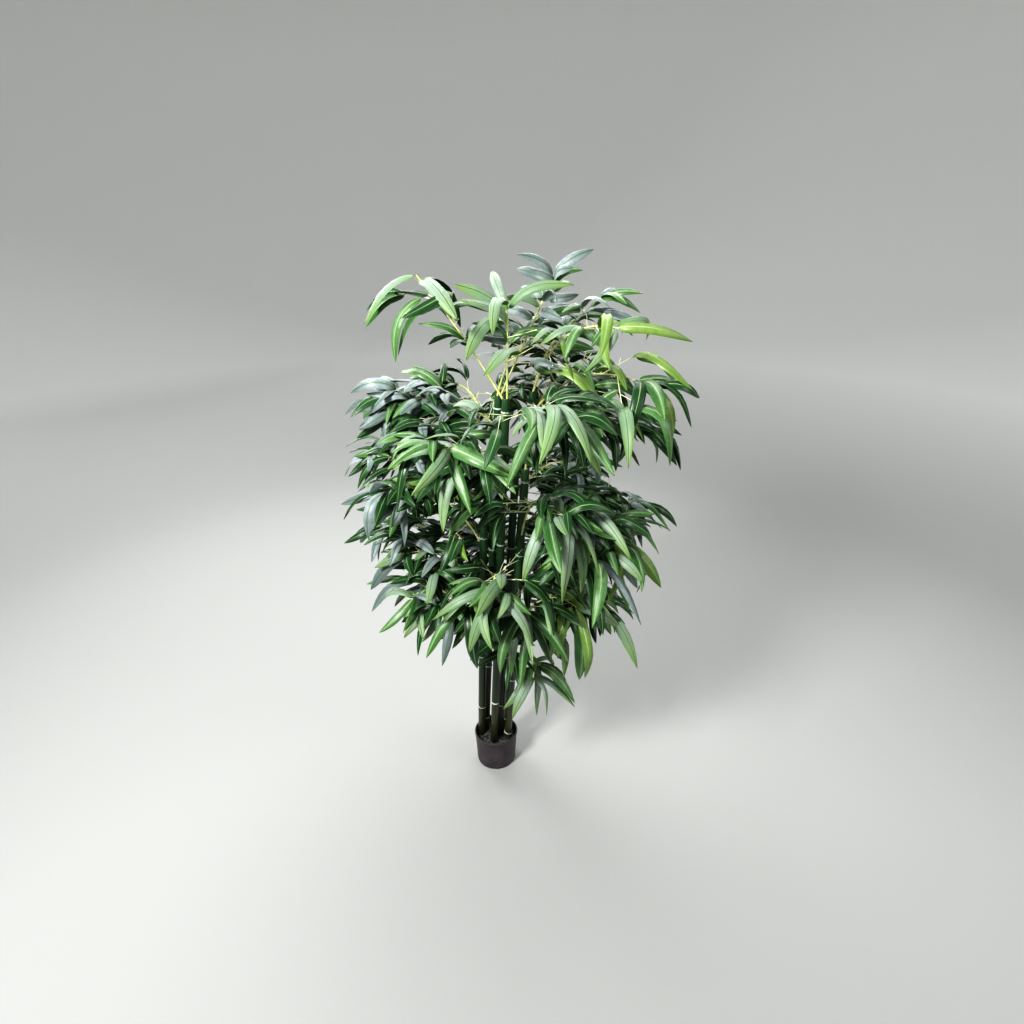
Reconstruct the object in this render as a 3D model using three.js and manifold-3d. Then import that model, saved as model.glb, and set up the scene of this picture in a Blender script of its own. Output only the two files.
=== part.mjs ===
// Artificial bamboo in a nursery pot: six green canes set in a filled pot, and sprays of long
// leaves on wire stems that are plugged into the canes and into their open tops.
// Millimetres, +Z up, +X to the right and +Y to the back of the plant.
// The origin is the middle of the pot's flat underside.
import * as THREE from 'three';
import { mergeVertices } from 'three/addons/utils/BufferGeometryUtils.js';
import Module from 'manifold-3d';

const wasm = await Module();
wasm.setup();

// Driving dimensions
const clearance = 0.3;   // gap between neighbouring pieces
const limbGap = 1.2;     // least gap from a twig or leaf to anything that isn't its own spray

const pot = {
  footRadius: 71,
  rimRadius: 80,
  height: 130,
  wall: 2.4,
  floor: 4,
  lip: 2.2,
  lipHeight: 8,
  sides: 32,
  roughness: 0.6,
};

const fill = {
  top: 105,
  sides: 24,
  roughness: 0.95,
};

const cane = {
  radius: 13.5,          // at the foot
  taper: 0.0008,         // loss of radius for each millimetre of height
  foot: 60,              // height of the buried foot
  ringRise: 1.7,
  ringHalf: 4.5,
  stub: 42,              // cane left above its last ring
  stubStep: 0.9,         // the stub is this much thinner
  socketRadius: 10.4,
  socketDepth: 12,
  sides: 8,
  roughness: 0.45,
};

// Where each cane stands at the fill, where its cut top is, its first and last ring, and the
// number of lengths between those two rings
const canes = [
  { name: 'left', at: [-55, 9], head: [-30, -37], firstRing: 245, lastRing: 965, lengths: 3 },
  { name: 'rear', at: [-40, 39], head: [19, 52], firstRing: 160, lastRing: 1360, lengths: 5 },
  { name: 'front', at: [-8, -34], head: [43, -38], firstRing: 295, lastRing: 1373, lengths: 5 },
  { name: 'mid', at: [14, 6], head: [71, 8], firstRing: 249, lastRing: 1127, lengths: 4 },
  { name: 'right', at: [44, -12], head: [101, -46], firstRing: 133, lastRing: 1161, lengths: 4 },
  { name: 'back', at: [22, 55], head: [124, 84], firstRing: 139, lastRing: 1364, lengths: 5 },
];

const bough = {
  rootRadius: 3.5,
  tipRadius: 3,
  sides: 4,
  steps: 4,
  roughness: 0.6,
};

const stem = {
  rootRadius: 3.6,
  tipRadius: 3,
  sides: 3,
};

const twig = {
  rootRadius: 1.6,
  tipRadius: 1.5,
  sides: 3,
  length: [0.42, 0.74],  // for each millimetre of the spray's mean leaf
  splay: [42, 66],       // degrees away from the stem
  wander: 55,            // degrees round the stem, either way
  sag: 0.2,
};

const leaf = {
  widthShare: 0.27,     // width for each millimetre of length
  sunk: 0.6,             // how far the root is past the middle of its twig
  fold: 0.16,            // height of the ridge for each millimetre of width
  belly: 0.4,            // where the blade is widest
  arch: [0.06, 0.18],
  lift: 0.75,            // how much of the blade's face looks up, against outward
  lean: 0.65,
  spread: [0.82, 1.18],  // shortest and longest leaf against the mean
  pair: [-64, 64],       // headings of the pair on a twig's way, against the twig
  pairShare: 0.42,
  fan: [0, -48, 48],
  crown: [0, -38, 38, -76, 76],
  step: 4.5,             // between one root and the next
  around: 1.2,           // wider headings on a limb that climbs steeply
  wander: 16,
  roll: 40,
  stiffLength: 70,       // a leaf as short as this doesn't droop
  droop: 0.32,           // degrees of droop for each millimetre beyond that
  limpness: [0.2, 1.8],
  follow: 0.5,           // how much of the twig's own slope a leaf keeps
  steepest: 1.35,        // radians below the level
  attempts: 18,          // chances drawn for each leaf until one fits
  roughness: 0.55,
};

const spaceShare = 0.76; // how much nearer than its own stem another stem may be to a leaf's point
const seed = 4101;

// One row for each spray. The root is the height of its socket in the side of the cane, or its
// seat inside the cane's open top. The bough is the share of the limb that is bare; without one,
// the spray's stem is plugged straight into the cane. The heading is in degrees from +X. Reach and
// climb lead to the tip, and the limb bends over at the lean, raised by the arch.
const sprays = [
  // name, cane, root, bough, heading, reach, climb, arch, lean, twigs, leaf
  ['top_left', 'front', [-3.8, 0], 0.25, 186, 230, 345, 30, 0.45, 5, 175],
  ['top_front', 'front', [3.8, 0], 0.25, 272, 50, 270, 30, 0.4, 5, 200],
  ['top_high', 'rear', [3.8, 0], 0.25, 356, 155, 350, 5, 0.5, 6, 130],
  ['top_back', 'rear', [-3.8, 0], 0.25, 38, 195, 145, 150, 0.25, 5, 134],
  ['top_right', 'back', [0, 3.8], 0.25, 353, 190, 240, 170, 0.25, 5, 130],
  ['top_far', 'back', [0, -3.8], 0.25, 320, 285, 225, 190, 0.25, 5, 205],
  ['upper_side', 'back', 1330, 0.25, 321, 370, 155, 140, 0.42, 5, 185],
  ['upper_right', 'back', 1240, 0, 352, 320, 60, 90, 0.42, 5, 184],
  ['upper_front', 'right', [0, -3.8], 0.25, 278, 275, 260, 200, 0.25, 4, 212],
  ['upper_left', 'rear', 1300, 0.25, 186, 320, 80, 110, 0.42, 5, 141],
  ['upper_near', 'front', 1180, 0, 256, 220, 95, 105, 0.42, 4, 143],
  ['upper_inner', 'rear', 1270, 0, 210, 265, 70, 110, 0.42, 4, 150],
  ['upper_back_left', 'rear', 1260, 0, 156, 195, 155, 140, 0.42, 5, 134],
  ['upper_back_right', 'back', 1310, 0, 37, 245, 120, 130, 0.42, 5, 143],
  ['middle_front', 'left', [0, -3.8], 0.25, 256, 290, 365, 260, 0.25, 4, 215],
  ['middle_far_left', 'rear', 1140, 0.25, 178, 375, 60, 110, 0.42, 5, 141],
  ['middle_left', 'left', 930, 0, 198, 290, 230, 175, 0.42, 5, 143],
  ['middle_near', 'right', 960, 0.25, 282, 310, 220, 175, 0.42, 4, 212],
  ['middle_right', 'right', 900, 0.25, 329, 315, 140, 130, 0.42, 5, 192],
  ['middle_far_right', 'back', 950, 0.25, 355, 370, 95, 110, 0.42, 5, 138],
  ['middle_back_left', 'rear', 980, 0, 145, 295, 85, 110, 0.42, 5, 143],
  ['middle_back', 'mid', 1080, 0, 40, 255, 60, 95, 0.42, 5, 143],
  ['middle_back_right', 'back', 900, 0, 36, 320, 140, 140, 0.42, 5, 143],
  ['upper_back', 'rear', 1330, 0, 80, 220, 15, 110, 0.42, 4, 138],
  ['lower_back', 'back', 780, 0, 100, 235, -20, 100, 0.42, 4, 145],
  ['lower_far_left', 'rear', 840, 0, 168, 390, 90, 110, 0.42, 5, 141],
  ['lower_left', 'left', 740, 0, 189, 245, 180, 140, 0.42, 5, 138],
  ['skirt_left', 'left', 600, 0, 213, 245, 210, 165, 0.42, 5, 152],
  ['lower_front', 'front', 720, 0.25, 268, 275, 210, 170, 0.42, 4, 215],
  ['skirt_front', 'mid', 620, 0, 282, 250, 200, 155, 0.42, 4, 198],
  ['skirt_right', 'right', 590, 0.25, 322, 240, 205, 170, 0.42, 4, 212],
  ['lower_right', 'back', 700, 0, 2, 280, -5, 65, 0.42, 5, 148],
  ['skirt_back_left', 'rear', 650, 0, 139, 270, 90, 110, 0.42, 5, 143],
  ['skirt_back_right', 'back', 640, 0, 48, 260, 75, 105, 0.42, 5, 143],
  ['foot_right', 'right', 440, 0, 325, 110, 60, 80, 0.42, 3, 150],
  ['foot_front', 'mid', 470, 0, 287, 110, 85, 80, 0.42, 3, 132],
].map(([name, host, root, bare, heading, reach, climb, arch, lean, twigs, length]) => (
  { name, host, root, bare, heading, reach, climb, arch, lean, twigs, leaf: length }
));

const colours = {
  pot: 0x2a2326,
  fill: 0x26281f,
  cane: 0x1f4a2c,
  bough: 0x9aa64a,
  leaf: [0x2a5c2c, 0x3f7f33, 0x8aa83c, 0x55786a],
};

const up = new THREE.Vector3(0, 0, 1);

// A repeatable stream of numbers for one place in the plant, such as a spray, a twig and a leaf
const modulus = 2 ** 32;

function nextState(state) {
  return (state * 1664525 + 1013904223) % modulus;
}

function makeRandom(...place) {
  let state = place.reduce((mixed, index) => nextState(mixed + index), seed);
  return (low, high) => {
    state = nextState(state);
    return low + ((high - low) * state) / modulus;
  };
}

function movePoints(geometry, move) {
  const position = geometry.attributes.position;
  const point = new THREE.Vector3();
  for (let i = 0; i < position.count; i++) {
    point.fromBufferAttribute(position, i);
    move(point);
    position.setXYZ(i, point.x, point.y, point.z);
  }
  return geometry;
}

function solidOf(geometry) {
  const bare = geometry.clone();
  for (const extra of ['normal', 'uv']) bare.deleteAttribute(extra);
  const merged = mergeVertices(bare, 1e-3);
  return new wasm.Manifold(new wasm.Mesh({
    numProp: 3,
    vertProperties: new Float32Array(merged.attributes.position.array),
    triVerts: new Uint32Array(merged.index.array),
  }));
}

function geometryOf(solid) {
  const mesh = solid.getMesh();
  const geometry = new THREE.BufferGeometry();
  geometry.setAttribute('position', new THREE.BufferAttribute(new Float32Array(mesh.vertProperties), 3));
  geometry.setIndex(new THREE.BufferAttribute(new Uint32Array(mesh.triVerts), 1));
  return geometry;
}

function turned(outline, sides) {
  const profile = outline.map(([radius, height]) => new THREE.Vector2(radius, height));
  return new THREE.LatheGeometry(profile, sides).rotateX(Math.PI / 2);
}

// Pot: a plain tapered nursery pot with a thick rolled lip
function potOuter(height) {
  return THREE.MathUtils.lerp(pot.footRadius, pot.rimRadius - pot.lip, height / pot.height);
}

function makePot() {
  const lipFoot = pot.height - pot.lipHeight;
  return solidOf(turned([
    [0, 0],
    [pot.footRadius, 0],
    [potOuter(lipFoot), lipFoot],
    [pot.rimRadius, lipFoot],
    [pot.rimRadius, pot.height],
    [potOuter(pot.height) - pot.wall, pot.height],
    [potOuter(pot.floor) - pot.wall, pot.floor],
    [0, pot.floor],
  ], pot.sides));
}

// Fill: the set plug in the pot, with a pocket for each cane
function makeFill() {
  const foot = pot.floor + clearance;
  const side = (height) => potOuter(height) - pot.wall - 2 * clearance;
  const outline = [[0, foot], [side(foot), foot], [side(fill.top), fill.top], [0, fill.top]];
  const plug = solidOf(turned(outline, fill.sides));
  return canes.reduce((left, row) => left.subtract(caneShape(row, clearance, false)), plug);
}

// Canes: jointed tubes that lean, with a raised ring at each joint and an open cut top
function caneTop(row) {
  return row.lastRing + cane.stub;
}

function caneAxis(row, height) {
  const share = (height - fill.top) / (caneTop(row) - fill.top);
  return new THREE.Vector3(
    THREE.MathUtils.lerp(row.at[0], row.head[0], share),
    THREE.MathUtils.lerp(row.at[1], row.head[1], share),
    height,
  );
}

function caneRadius(height) {
  return cane.radius - cane.taper * height;
}

function caneShape(row, swell, open) {
  const outline = [[0, cane.foot - swell], [caneRadius(cane.foot) + swell, cane.foot - swell]];
  for (let i = 0; i <= row.lengths; i++) {
    const height = THREE.MathUtils.lerp(row.firstRing, row.lastRing, i / row.lengths);
    const radius = caneRadius(height) + swell;
    const step = i === row.lengths ? cane.stubStep : 0;
    outline.push([radius, height - cane.ringHalf]);
    outline.push([radius + cane.ringRise, height]);
    outline.push([radius - step, height + cane.ringHalf]);
  }
  const top = caneTop(row);
  outline.push([caneRadius(top) - cane.stubStep + swell, top + swell]);
  if (open) {
    outline.push([cane.socketRadius - swell, top + swell]);
    outline.push([cane.socketRadius - swell, top - cane.socketDepth + swell]);
    outline.push([0, top - cane.socketDepth + swell]);
  } else {
    outline.push([0, top + swell]);
  }
  return solidOf(movePoints(turned(outline, cane.sides), (point) => {
    const axis = caneAxis(row, point.z);
    point.x += axis.x;
    point.y += axis.y;
  }));
}

// Limbs: each is one arching curve. Its first part is the bough and the rest is the spray's stem.
function compass(degrees) {
  const angle = THREE.MathUtils.degToRad(degrees);
  return new THREE.Vector3(Math.cos(angle), Math.sin(angle), 0);
}

function hostOf(row) {
  return canes.find((one) => one.name === row.host);
}

function inTop(row) {
  return Array.isArray(row.root);
}

function limbCurve(row) {
  const host = hostOf(row);
  const height = inTop(row) ? caneTop(host) - cane.socketDepth : row.root;
  const root = caneAxis(host, height);
  if (inTop(row)) root.add(new THREE.Vector3(...row.root, 0));
  const tip = root.clone().addScaledVector(compass(row.heading), row.reach).addScaledVector(up, row.climb);
  const bend = root.clone().lerp(tip, row.lean).addScaledVector(up, row.arch);
  return new THREE.QuadraticBezierCurve3(root, bend, tip);
}

// The stretch of a bending curve between two shares of its way
function stretch(curve, from, to) {
  const bend = curve.v0.clone().lerp(curve.v1, from).lerp(curve.v1.clone().lerp(curve.v2, from), to);
  return new THREE.QuadraticBezierCurve3(curve.getPoint(from), bend, curve.getPoint(to));
}

// Where a run of straight lengths has got to, and which way it goes there
function along(spine, share) {
  const place = share * (spine.length - 1);
  const index = Math.min(Math.floor(place), spine.length - 2);
  const point = spine[index].clone().lerp(spine[index + 1], place - index);
  const direction = spine[index + 1].clone().sub(spine[index]).normalize();
  return { point, direction };
}

// A tapering limb: a section carried along a curve, with its rings drawn in towards the tip
function taperedTube(curve, steps, { rootRadius, tipRadius, sides }) {
  const section = new THREE.Shape();
  for (let i = 0; i < sides; i++) {
    const angle = (2 * Math.PI * i) / sides;
    const corner = [rootRadius * Math.cos(angle), rootRadius * Math.sin(angle)];
    if (i === 0) section.moveTo(...corner);
    else section.lineTo(...corner);
  }
  const tube = new THREE.ExtrudeGeometry(section, { steps, extrudePath: curve, bevelEnabled: false });
  const centres = curve.getSpacedPoints(steps);
  return solidOf(movePoints(tube, (point) => {
    const ring = nearestOf(centres, point);
    const share = THREE.MathUtils.lerp(1, tipRadius / rootRadius, ring / steps);
    point.sub(centres[ring]).multiplyScalar(share).add(centres[ring]);
  }));
}

function nearestOf(places, point) {
  let best = 0;
  for (let i = 1; i < places.length; i++) {
    if (places[i].distanceToSquared(point) < places[best].distanceToSquared(point)) best = i;
  }
  return best;
}

// Leaf: a bent blade of six faces with a ridge along its back, its root sunk in what carries it
const leafFaces = [
  ['root', 'right', 'ridge'],
  ['root', 'ridge', 'left'],
  ['right', 'tip', 'ridge'],
  ['ridge', 'tip', 'left'],
  ['root', 'left', 'right'],
  ['left', 'tip', 'right'],
];

function makeLeaf(plan) {
  const { root, direction, length } = plan;
  const outward = new THREE.Vector3(direction.x, direction.y, 0).normalize();
  const face = up.clone().multiplyScalar(leaf.lift).addScaledVector(outward, leaf.lean);
  face.addScaledVector(direction, -face.dot(direction)).normalize().applyAxisAngle(direction, plan.roll);
  const side = new THREE.Vector3().crossVectors(face, direction);
  const width = length * leaf.widthShare;
  const belly = root.clone().addScaledVector(direction, leaf.belly * length);
  belly.addScaledVector(face, plan.arch * length);
  const points = {
    root: root.clone().addScaledVector(direction, -leaf.sunk),
    left: belly.clone().addScaledVector(side, width / 2),
    right: belly.clone().addScaledVector(side, -width / 2),
    ridge: belly.clone().addScaledVector(face, leaf.fold * width),
    tip: root.clone().addScaledVector(direction, length),
  };
  const names = Object.keys(points);
  const blade = new THREE.BufferGeometry().setFromPoints(Object.values(points));
  blade.setIndex(leafFaces.flat().map((name) => names.indexOf(name)));
  return { solid: solidOf(blade), ends: [points.left, points.right, points.tip] };
}

// The growing rule. A stem carries a twig on each of its straight lengths but the last, turn
// about, and a fan of leaves at its tip. A twig carries a pair of leaves and a fan at its end.
function planTwig(row, spine, index, random) {
  const { point, direction } = along(spine, (index + 0.5) / (row.twigs + 1));
  const sideways = new THREE.Vector3().crossVectors(direction, up).normalize();
  const above = new THREE.Vector3().crossVectors(sideways, direction);
  const turn = THREE.MathUtils.degToRad(180 * (index % 2) + random(-twig.wander, twig.wander));
  const splay = THREE.MathUtils.degToRad(random(...twig.splay));
  const length = row.leaf * random(...twig.length);
  const outward = direction.clone().multiplyScalar(Math.cos(splay));
  outward.addScaledVector(sideways, Math.sin(splay) * Math.cos(turn));
  outward.addScaledVector(above, Math.sin(splay) * Math.sin(turn));
  const end = point.clone().addScaledVector(outward, length).addScaledVector(up, -twig.sag * length);
  return new THREE.LineCurve3(point, end);
}

function planLeaf(row, spine, share, yaw, random) {
  const { point, direction } = along(spine, share);
  const turn = yaw * (1 + leaf.around * direction.z ** 2) + random(-leaf.wander, leaf.wander);
  const heading = Math.atan2(direction.y, direction.x) + THREE.MathUtils.degToRad(turn);
  const length = row.leaf * random(...leaf.spread);
  const droop = (length - leaf.stiffLength) * leaf.droop * random(...leaf.limpness);
  const slope = Math.asin(direction.z) * leaf.follow - THREE.MathUtils.degToRad(droop);
  const fall = Math.max(slope, -leaf.steepest);
  const outward = compass(THREE.MathUtils.radToDeg(heading)).multiplyScalar(Math.cos(fall));
  outward.z = Math.sin(fall);
  const arch = random(...leaf.arch);
  const roll = THREE.MathUtils.degToRad(random(-leaf.roll, leaf.roll));
  return { root: point, direction: outward, length, arch, roll };
}

// A spray keeps to its own space: its points may not be far nearer to another stem than to its own
function distanceToStem(point, { spine }) {
  const nearest = new THREE.Vector3();
  let best = Infinity;
  for (let i = 1; i < spine.length; i++) {
    new THREE.Line3(spine[i - 1], spine[i]).closestPointToPoint(point, true, nearest);
    best = Math.min(best, nearest.distanceTo(point));
  }
  return best;
}

function inOwnSpace(point, own) {
  const reach = distanceToStem(point, own) * spaceShare;
  return stems.every((other) => other === own || distanceToStem(point, other) > reach);
}

// Pieces that are in place. A new one may touch only what it grows from.
const placed = [];

function boxOf(solid) {
  const { min, max } = solid.boundingBox();
  return new THREE.Box3(new THREE.Vector3(...min), new THREE.Vector3(...max));
}

function settle(solid) {
  const piece = { solid, box: boxOf(solid).expandByScalar(limbGap) };
  placed.push(piece);
  return piece;
}

function isClear(solid, joined) {
  const box = boxOf(solid);
  return placed.every((piece) => (
    joined.includes(piece) || !box.intersectsBox(piece.box) || solid.minGap(piece.solid, limbGap) >= limbGap
  ));
}

function largestBody(solid) {
  return solid.decompose().reduce((best, body) => (body.volume() > best.volume() ? body : best));
}

const plant = new THREE.Group();

function addNode(name, solid, colour, roughness) {
  const material = new THREE.MeshStandardMaterial({ color: colour, roughness, metalness: 0 });
  const mesh = new THREE.Mesh(geometryOf(solid), material);
  mesh.name = name;
  plant.add(mesh);
}

addNode('pot', makePot(), colours.pot, pot.roughness);
addNode('fill', makeFill(), colours.fill, fill.roughness);

for (const row of canes) {
  const solid = caneShape(row, 0, true);
  addNode(`cane_${row.name}`, solid, colours.cane, cane.roughness);
  settle(solid);
}

// All the boughs and stems come first, so that every spray knows where its neighbours run
function seatOnCane(row, solid) {
  return largestBody(solid.subtract(caneShape(hostOf(row), clearance, inTop(row))));
}

function makeStem(row) {
  const limb = limbCurve(row);
  if (row.bare > 0) {
    const curve = stretch(limb, 0, row.bare - clearance / limb.getLength());
    const solid = seatOnCane(row, taperedTube(curve, bough.steps, bough));
    addNode(`bough_${row.name}`, solid, colours.bough, bough.roughness);
    settle(solid);
  }
  const curve = stretch(limb, row.bare, 1);
  const steps = row.twigs + 1;
  const tube = taperedTube(curve, steps, stem);
  const piece = settle(row.bare > 0 ? tube : seatOnCane(row, tube));
  const spine = curve.getSpacedPoints(steps);
  return { row, spine, length: curve.getLength(), piece, pieces: [piece], twigs: [] };
}

const stems = sprays.map(makeStem);

// Then come the twigs of every spray, and last the leaves
for (const [number, one] of stems.entries()) {
  for (let i = 0; i < one.row.twigs; i++) {
    const line = planTwig(one.row, one.spine, i, makeRandom(number, i));
    const solid = taperedTube(line, 1, twig);
    if (inOwnSpace(line.v2, one) && isClear(solid, [one.piece])) {
      const piece = settle(solid);
      one.pieces.push(piece);
      one.twigs.push({ spine: [line.v1, line.v2], length: line.getLength(), piece, place: [number, i] });
    }
  }
}

function growLeaf(one, carrier, share, yaw, place, joined) {
  for (let attempt = 0; attempt < leaf.attempts; attempt++) {
    const random = makeRandom(...place, attempt);
    const blade = makeLeaf(planLeaf(one.row, carrier.spine, share, yaw, random));
    if (blade.ends.every((end) => inOwnSpace(end, one)) && isClear(blade.solid, joined)) {
      return settle(blade.solid);
    }
  }
  return null;
}

function growLeaves(one, carrier, share, yaws, place) {
  const joined = [carrier.piece];
  for (const [order, yaw] of yaws.entries()) {
    const root = share - (leaf.step * order + leaf.sunk) / carrier.length;
    const piece = growLeaf(one, carrier, root, yaw, [...place, order], joined);
    if (piece) joined.push(piece);
  }
  one.pieces.push(...joined.slice(1));
}

for (const [number, one] of stems.entries()) {
  growLeaves(one, one, 1, leaf.crown, [number, one.row.twigs, 0]);
  for (const carrier of one.twigs) {
    growLeaves(one, carrier, 1, leaf.fan, [...carrier.place, 0]);
    growLeaves(one, carrier, leaf.pairShare, leaf.pair, [...carrier.place, 1]);
  }
  const spray = largestBody(wasm.Manifold.union(one.pieces.map((piece) => piece.solid)));
  const colour = colours.leaf[number % colours.leaf.length];
  addNode(`leaves_${one.row.name}`, spray, colour, leaf.roughness);
}

export default plant;
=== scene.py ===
import math

import bpy
import numpy as np
from mathutils.bvhtree import BVHTree
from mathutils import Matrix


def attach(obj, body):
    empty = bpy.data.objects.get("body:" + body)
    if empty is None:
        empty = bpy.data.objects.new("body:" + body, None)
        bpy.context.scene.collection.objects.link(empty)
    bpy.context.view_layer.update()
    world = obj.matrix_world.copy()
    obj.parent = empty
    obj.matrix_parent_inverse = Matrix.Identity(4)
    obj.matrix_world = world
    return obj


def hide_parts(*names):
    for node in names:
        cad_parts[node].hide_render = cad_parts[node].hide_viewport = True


# An artificial bamboo in its nursery pot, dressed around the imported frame. The plant's own sizes
# are in millimetres, and every finished mesh is in metres.
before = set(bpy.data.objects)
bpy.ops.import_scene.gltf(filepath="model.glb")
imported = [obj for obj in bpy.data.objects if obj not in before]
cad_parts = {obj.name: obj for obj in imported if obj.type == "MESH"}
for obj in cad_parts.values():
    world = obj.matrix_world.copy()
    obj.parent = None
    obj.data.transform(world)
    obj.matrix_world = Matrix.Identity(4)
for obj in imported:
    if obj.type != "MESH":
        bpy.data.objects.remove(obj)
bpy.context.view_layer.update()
mm = 0.001
print("frame loaded:", len(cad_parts), "nodes")

# Node trees

def plug(tree, socket, value):  # a link from another node, or else a plain value
    if isinstance(value, bpy.types.NodeSocket):
        tree.links.new(value, socket)
    else:
        socket.default_value = value


def addNode(tree, kind, links=(), **settings):
    node = tree.nodes.new(kind)
    for key, value in settings.items():
        setattr(node, key, value)
    for place, value in dict(links).items():
        plug(tree, node.inputs[place], value)
    return node


def calc(tree, operation, *values):
    return addNode(tree, "ShaderNodeMath", enumerate(values), operation=operation).outputs[0]


def times(tree, first, *others):
    for other in others:
        first = calc(tree, "MULTIPLY", first, other)
    return first


def plus(tree, first, *others):
    for other in others:
        first = calc(tree, "ADD", first, other)
    return first


def scaled(tree, vector, factor):
    return addNode(tree, "ShaderNodeVectorMath", {0: vector, "Scale": factor}, operation="SCALE").outputs[0]


def summed(tree, first, *others):
    for other in others:
        first = addNode(tree, "ShaderNodeVectorMath", {0: first, 1: other}, operation="ADD").outputs[0]
    return first


def named(tree, name, kind="FLOAT"):
    node = addNode(tree, "GeometryNodeInputNamedAttribute", {"Name": name}, data_type=kind)
    return node.outputs["Attribute"]


def newTree(name, inputs):
    tree = bpy.data.node_groups.new(name, "GeometryNodeTree")
    tree.interface.new_socket("Geometry", in_out="INPUT", socket_type="NodeSocketGeometry")
    for label, kind in inputs:
        tree.interface.new_socket(label, in_out="INPUT", socket_type="NodeSocket" + kind)
    tree.interface.new_socket("Geometry", in_out="OUTPUT", socket_type="NodeSocketGeometry")
    return tree, tree.nodes.new("NodeGroupInput").outputs


def endTree(tree, geometry, material):
    solid = addNode(tree, "GeometryNodeRealizeInstances", {"Geometry": geometry})
    painted = addNode(tree, "GeometryNodeSetMaterial", {"Geometry": solid.outputs[0], "Material": material})
    end = tree.nodes.new("NodeGroupOutput")
    tree.links.new(painted.outputs[0], end.inputs[0])


def runTree(name, base, tree, values):  # the evaluated result as a plain mesh at the origin
    modifier = base.modifiers.new(tree.name, "NODES")
    modifier.node_group = tree
    for item in tree.interface.items_tree:
        if item.item_type == "SOCKET" and item.in_out == "INPUT" and item.name in values:
            modifier[item.identifier] = values[item.name]
    depsgraph = bpy.context.evaluated_depsgraph_get()
    mesh = bpy.data.meshes.new_from_object(
        base.evaluated_get(depsgraph), preserve_all_data_layers=True, depsgraph=depsgraph)
    bpy.data.objects.remove(base)
    mesh.name = name
    return addPiece(name, mesh)


def addPiece(name, mesh):
    piece = bpy.data.objects.new(name, mesh)
    bpy.context.scene.collection.objects.link(piece)
    return piece


def meshOf(name, points, faces=(), edges=()):
    mesh = bpy.data.meshes.new(name)
    mesh.from_pydata([tuple(point) for point in points], edges, faces)
    mesh.shade_smooth()
    return mesh


def setAttribute(mesh, name, values, kind="FLOAT"):
    layer = mesh.attributes.new(name, kind, "POINT")
    field = "vector" if kind == "FLOAT_VECTOR" else "value"
    layer.data.foreach_set(field, np.asarray(values, np.float32).ravel())


def putOn(piece, slot, *nodes):  # every piece rides with the pot
    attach(piece, "root")
    if nodes:
        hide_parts(*nodes)


# Finishes: a plain colour, other colours laid over it in turn, and a fine grain. A layer is what it
# goes by, from and to, its colour and its share, and a speckle is its scale, detail and stretch.

def newFinish(name, look):
    material = bpy.data.materials.new(name)
    material.use_nodes = True
    shader = material.node_tree.nodes["Principled BSDF"]
    values = {
        "Base Color": (*look["color"], 1), "Roughness": look["roughness"],
        "Specular IOR Level": look.get("gloss", 0.5), "Coat Weight": look.get("coat", 0),
        "Sheen Weight": look.get("sheen", 0), "Sheen Roughness": 0.4,
    }
    for socket, value in values.items():
        shader.inputs[socket].default_value = value
    return material, material.node_tree, shader


def speckle(tree, scale, detail=3.0, stretch=(1, 1, 1)):
    place = addNode(tree, "ShaderNodeTexCoord").outputs["Object"]
    turned = addNode(tree, "ShaderNodeMapping", {"Vector": place, "Scale": stretch}).outputs[0]
    noise = addNode(tree, "ShaderNodeTexNoise", {"Vector": turned, "Scale": scale, "Detail": detail})
    return noise.outputs["Fac"]


def measure(tree, source):  # a node's own value, a speckle, the height, or a value that the leaves carry
    if isinstance(source, bpy.types.NodeSocket):
        return source
    if isinstance(source, tuple):
        return speckle(tree, *source)
    if source == "height":
        place = addNode(tree, "ShaderNodeTexCoord").outputs["Object"]
        return addNode(tree, "ShaderNodeSeparateXYZ", {"Vector": place}).outputs["Z"]
    return addNode(tree, "ShaderNodeAttribute", attribute_name=source).outputs["Fac"]


def blendColors(tree, factor, first, second):
    node = addNode(tree, "ShaderNodeMix", data_type="RGBA")
    for place, value in ((0, factor), (6, first), (7, second)):
        plug(tree, node.inputs[place], (*value, 1) if isinstance(value, tuple) else value)
    return node.outputs[2]


def paint(tree, shader, color, layers):
    for source, (low, high), tone, *share in layers:
        amount = addNode(tree, "ShaderNodeMapRange", {
            "Value": measure(tree, source), "From Min": low, "From Max": high}).outputs[0]
        color = blendColors(tree, times(tree, amount, *share), color, tone)
    tree.links.new(color, shader.inputs["Base Color"])


def roughen(tree, shader, height, strength, depth):
    bump = addNode(tree, "ShaderNodeBump", {"Height": height, "Strength": strength, "Distance": depth})
    tree.links.new(bump.outputs[0], shader.inputs["Normal"])


def makeFinish(name, look):
    material, tree, shader = newFinish(name, look)
    paint(tree, shader, look["color"], look["layers"])
    if "grain" in look:
        source, strength, depth = look["grain"]
        roughen(tree, shader, speckle(tree, *source), strength, depth)
    return material


# The plant's sizes, and the rule that its sprays grow by

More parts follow.
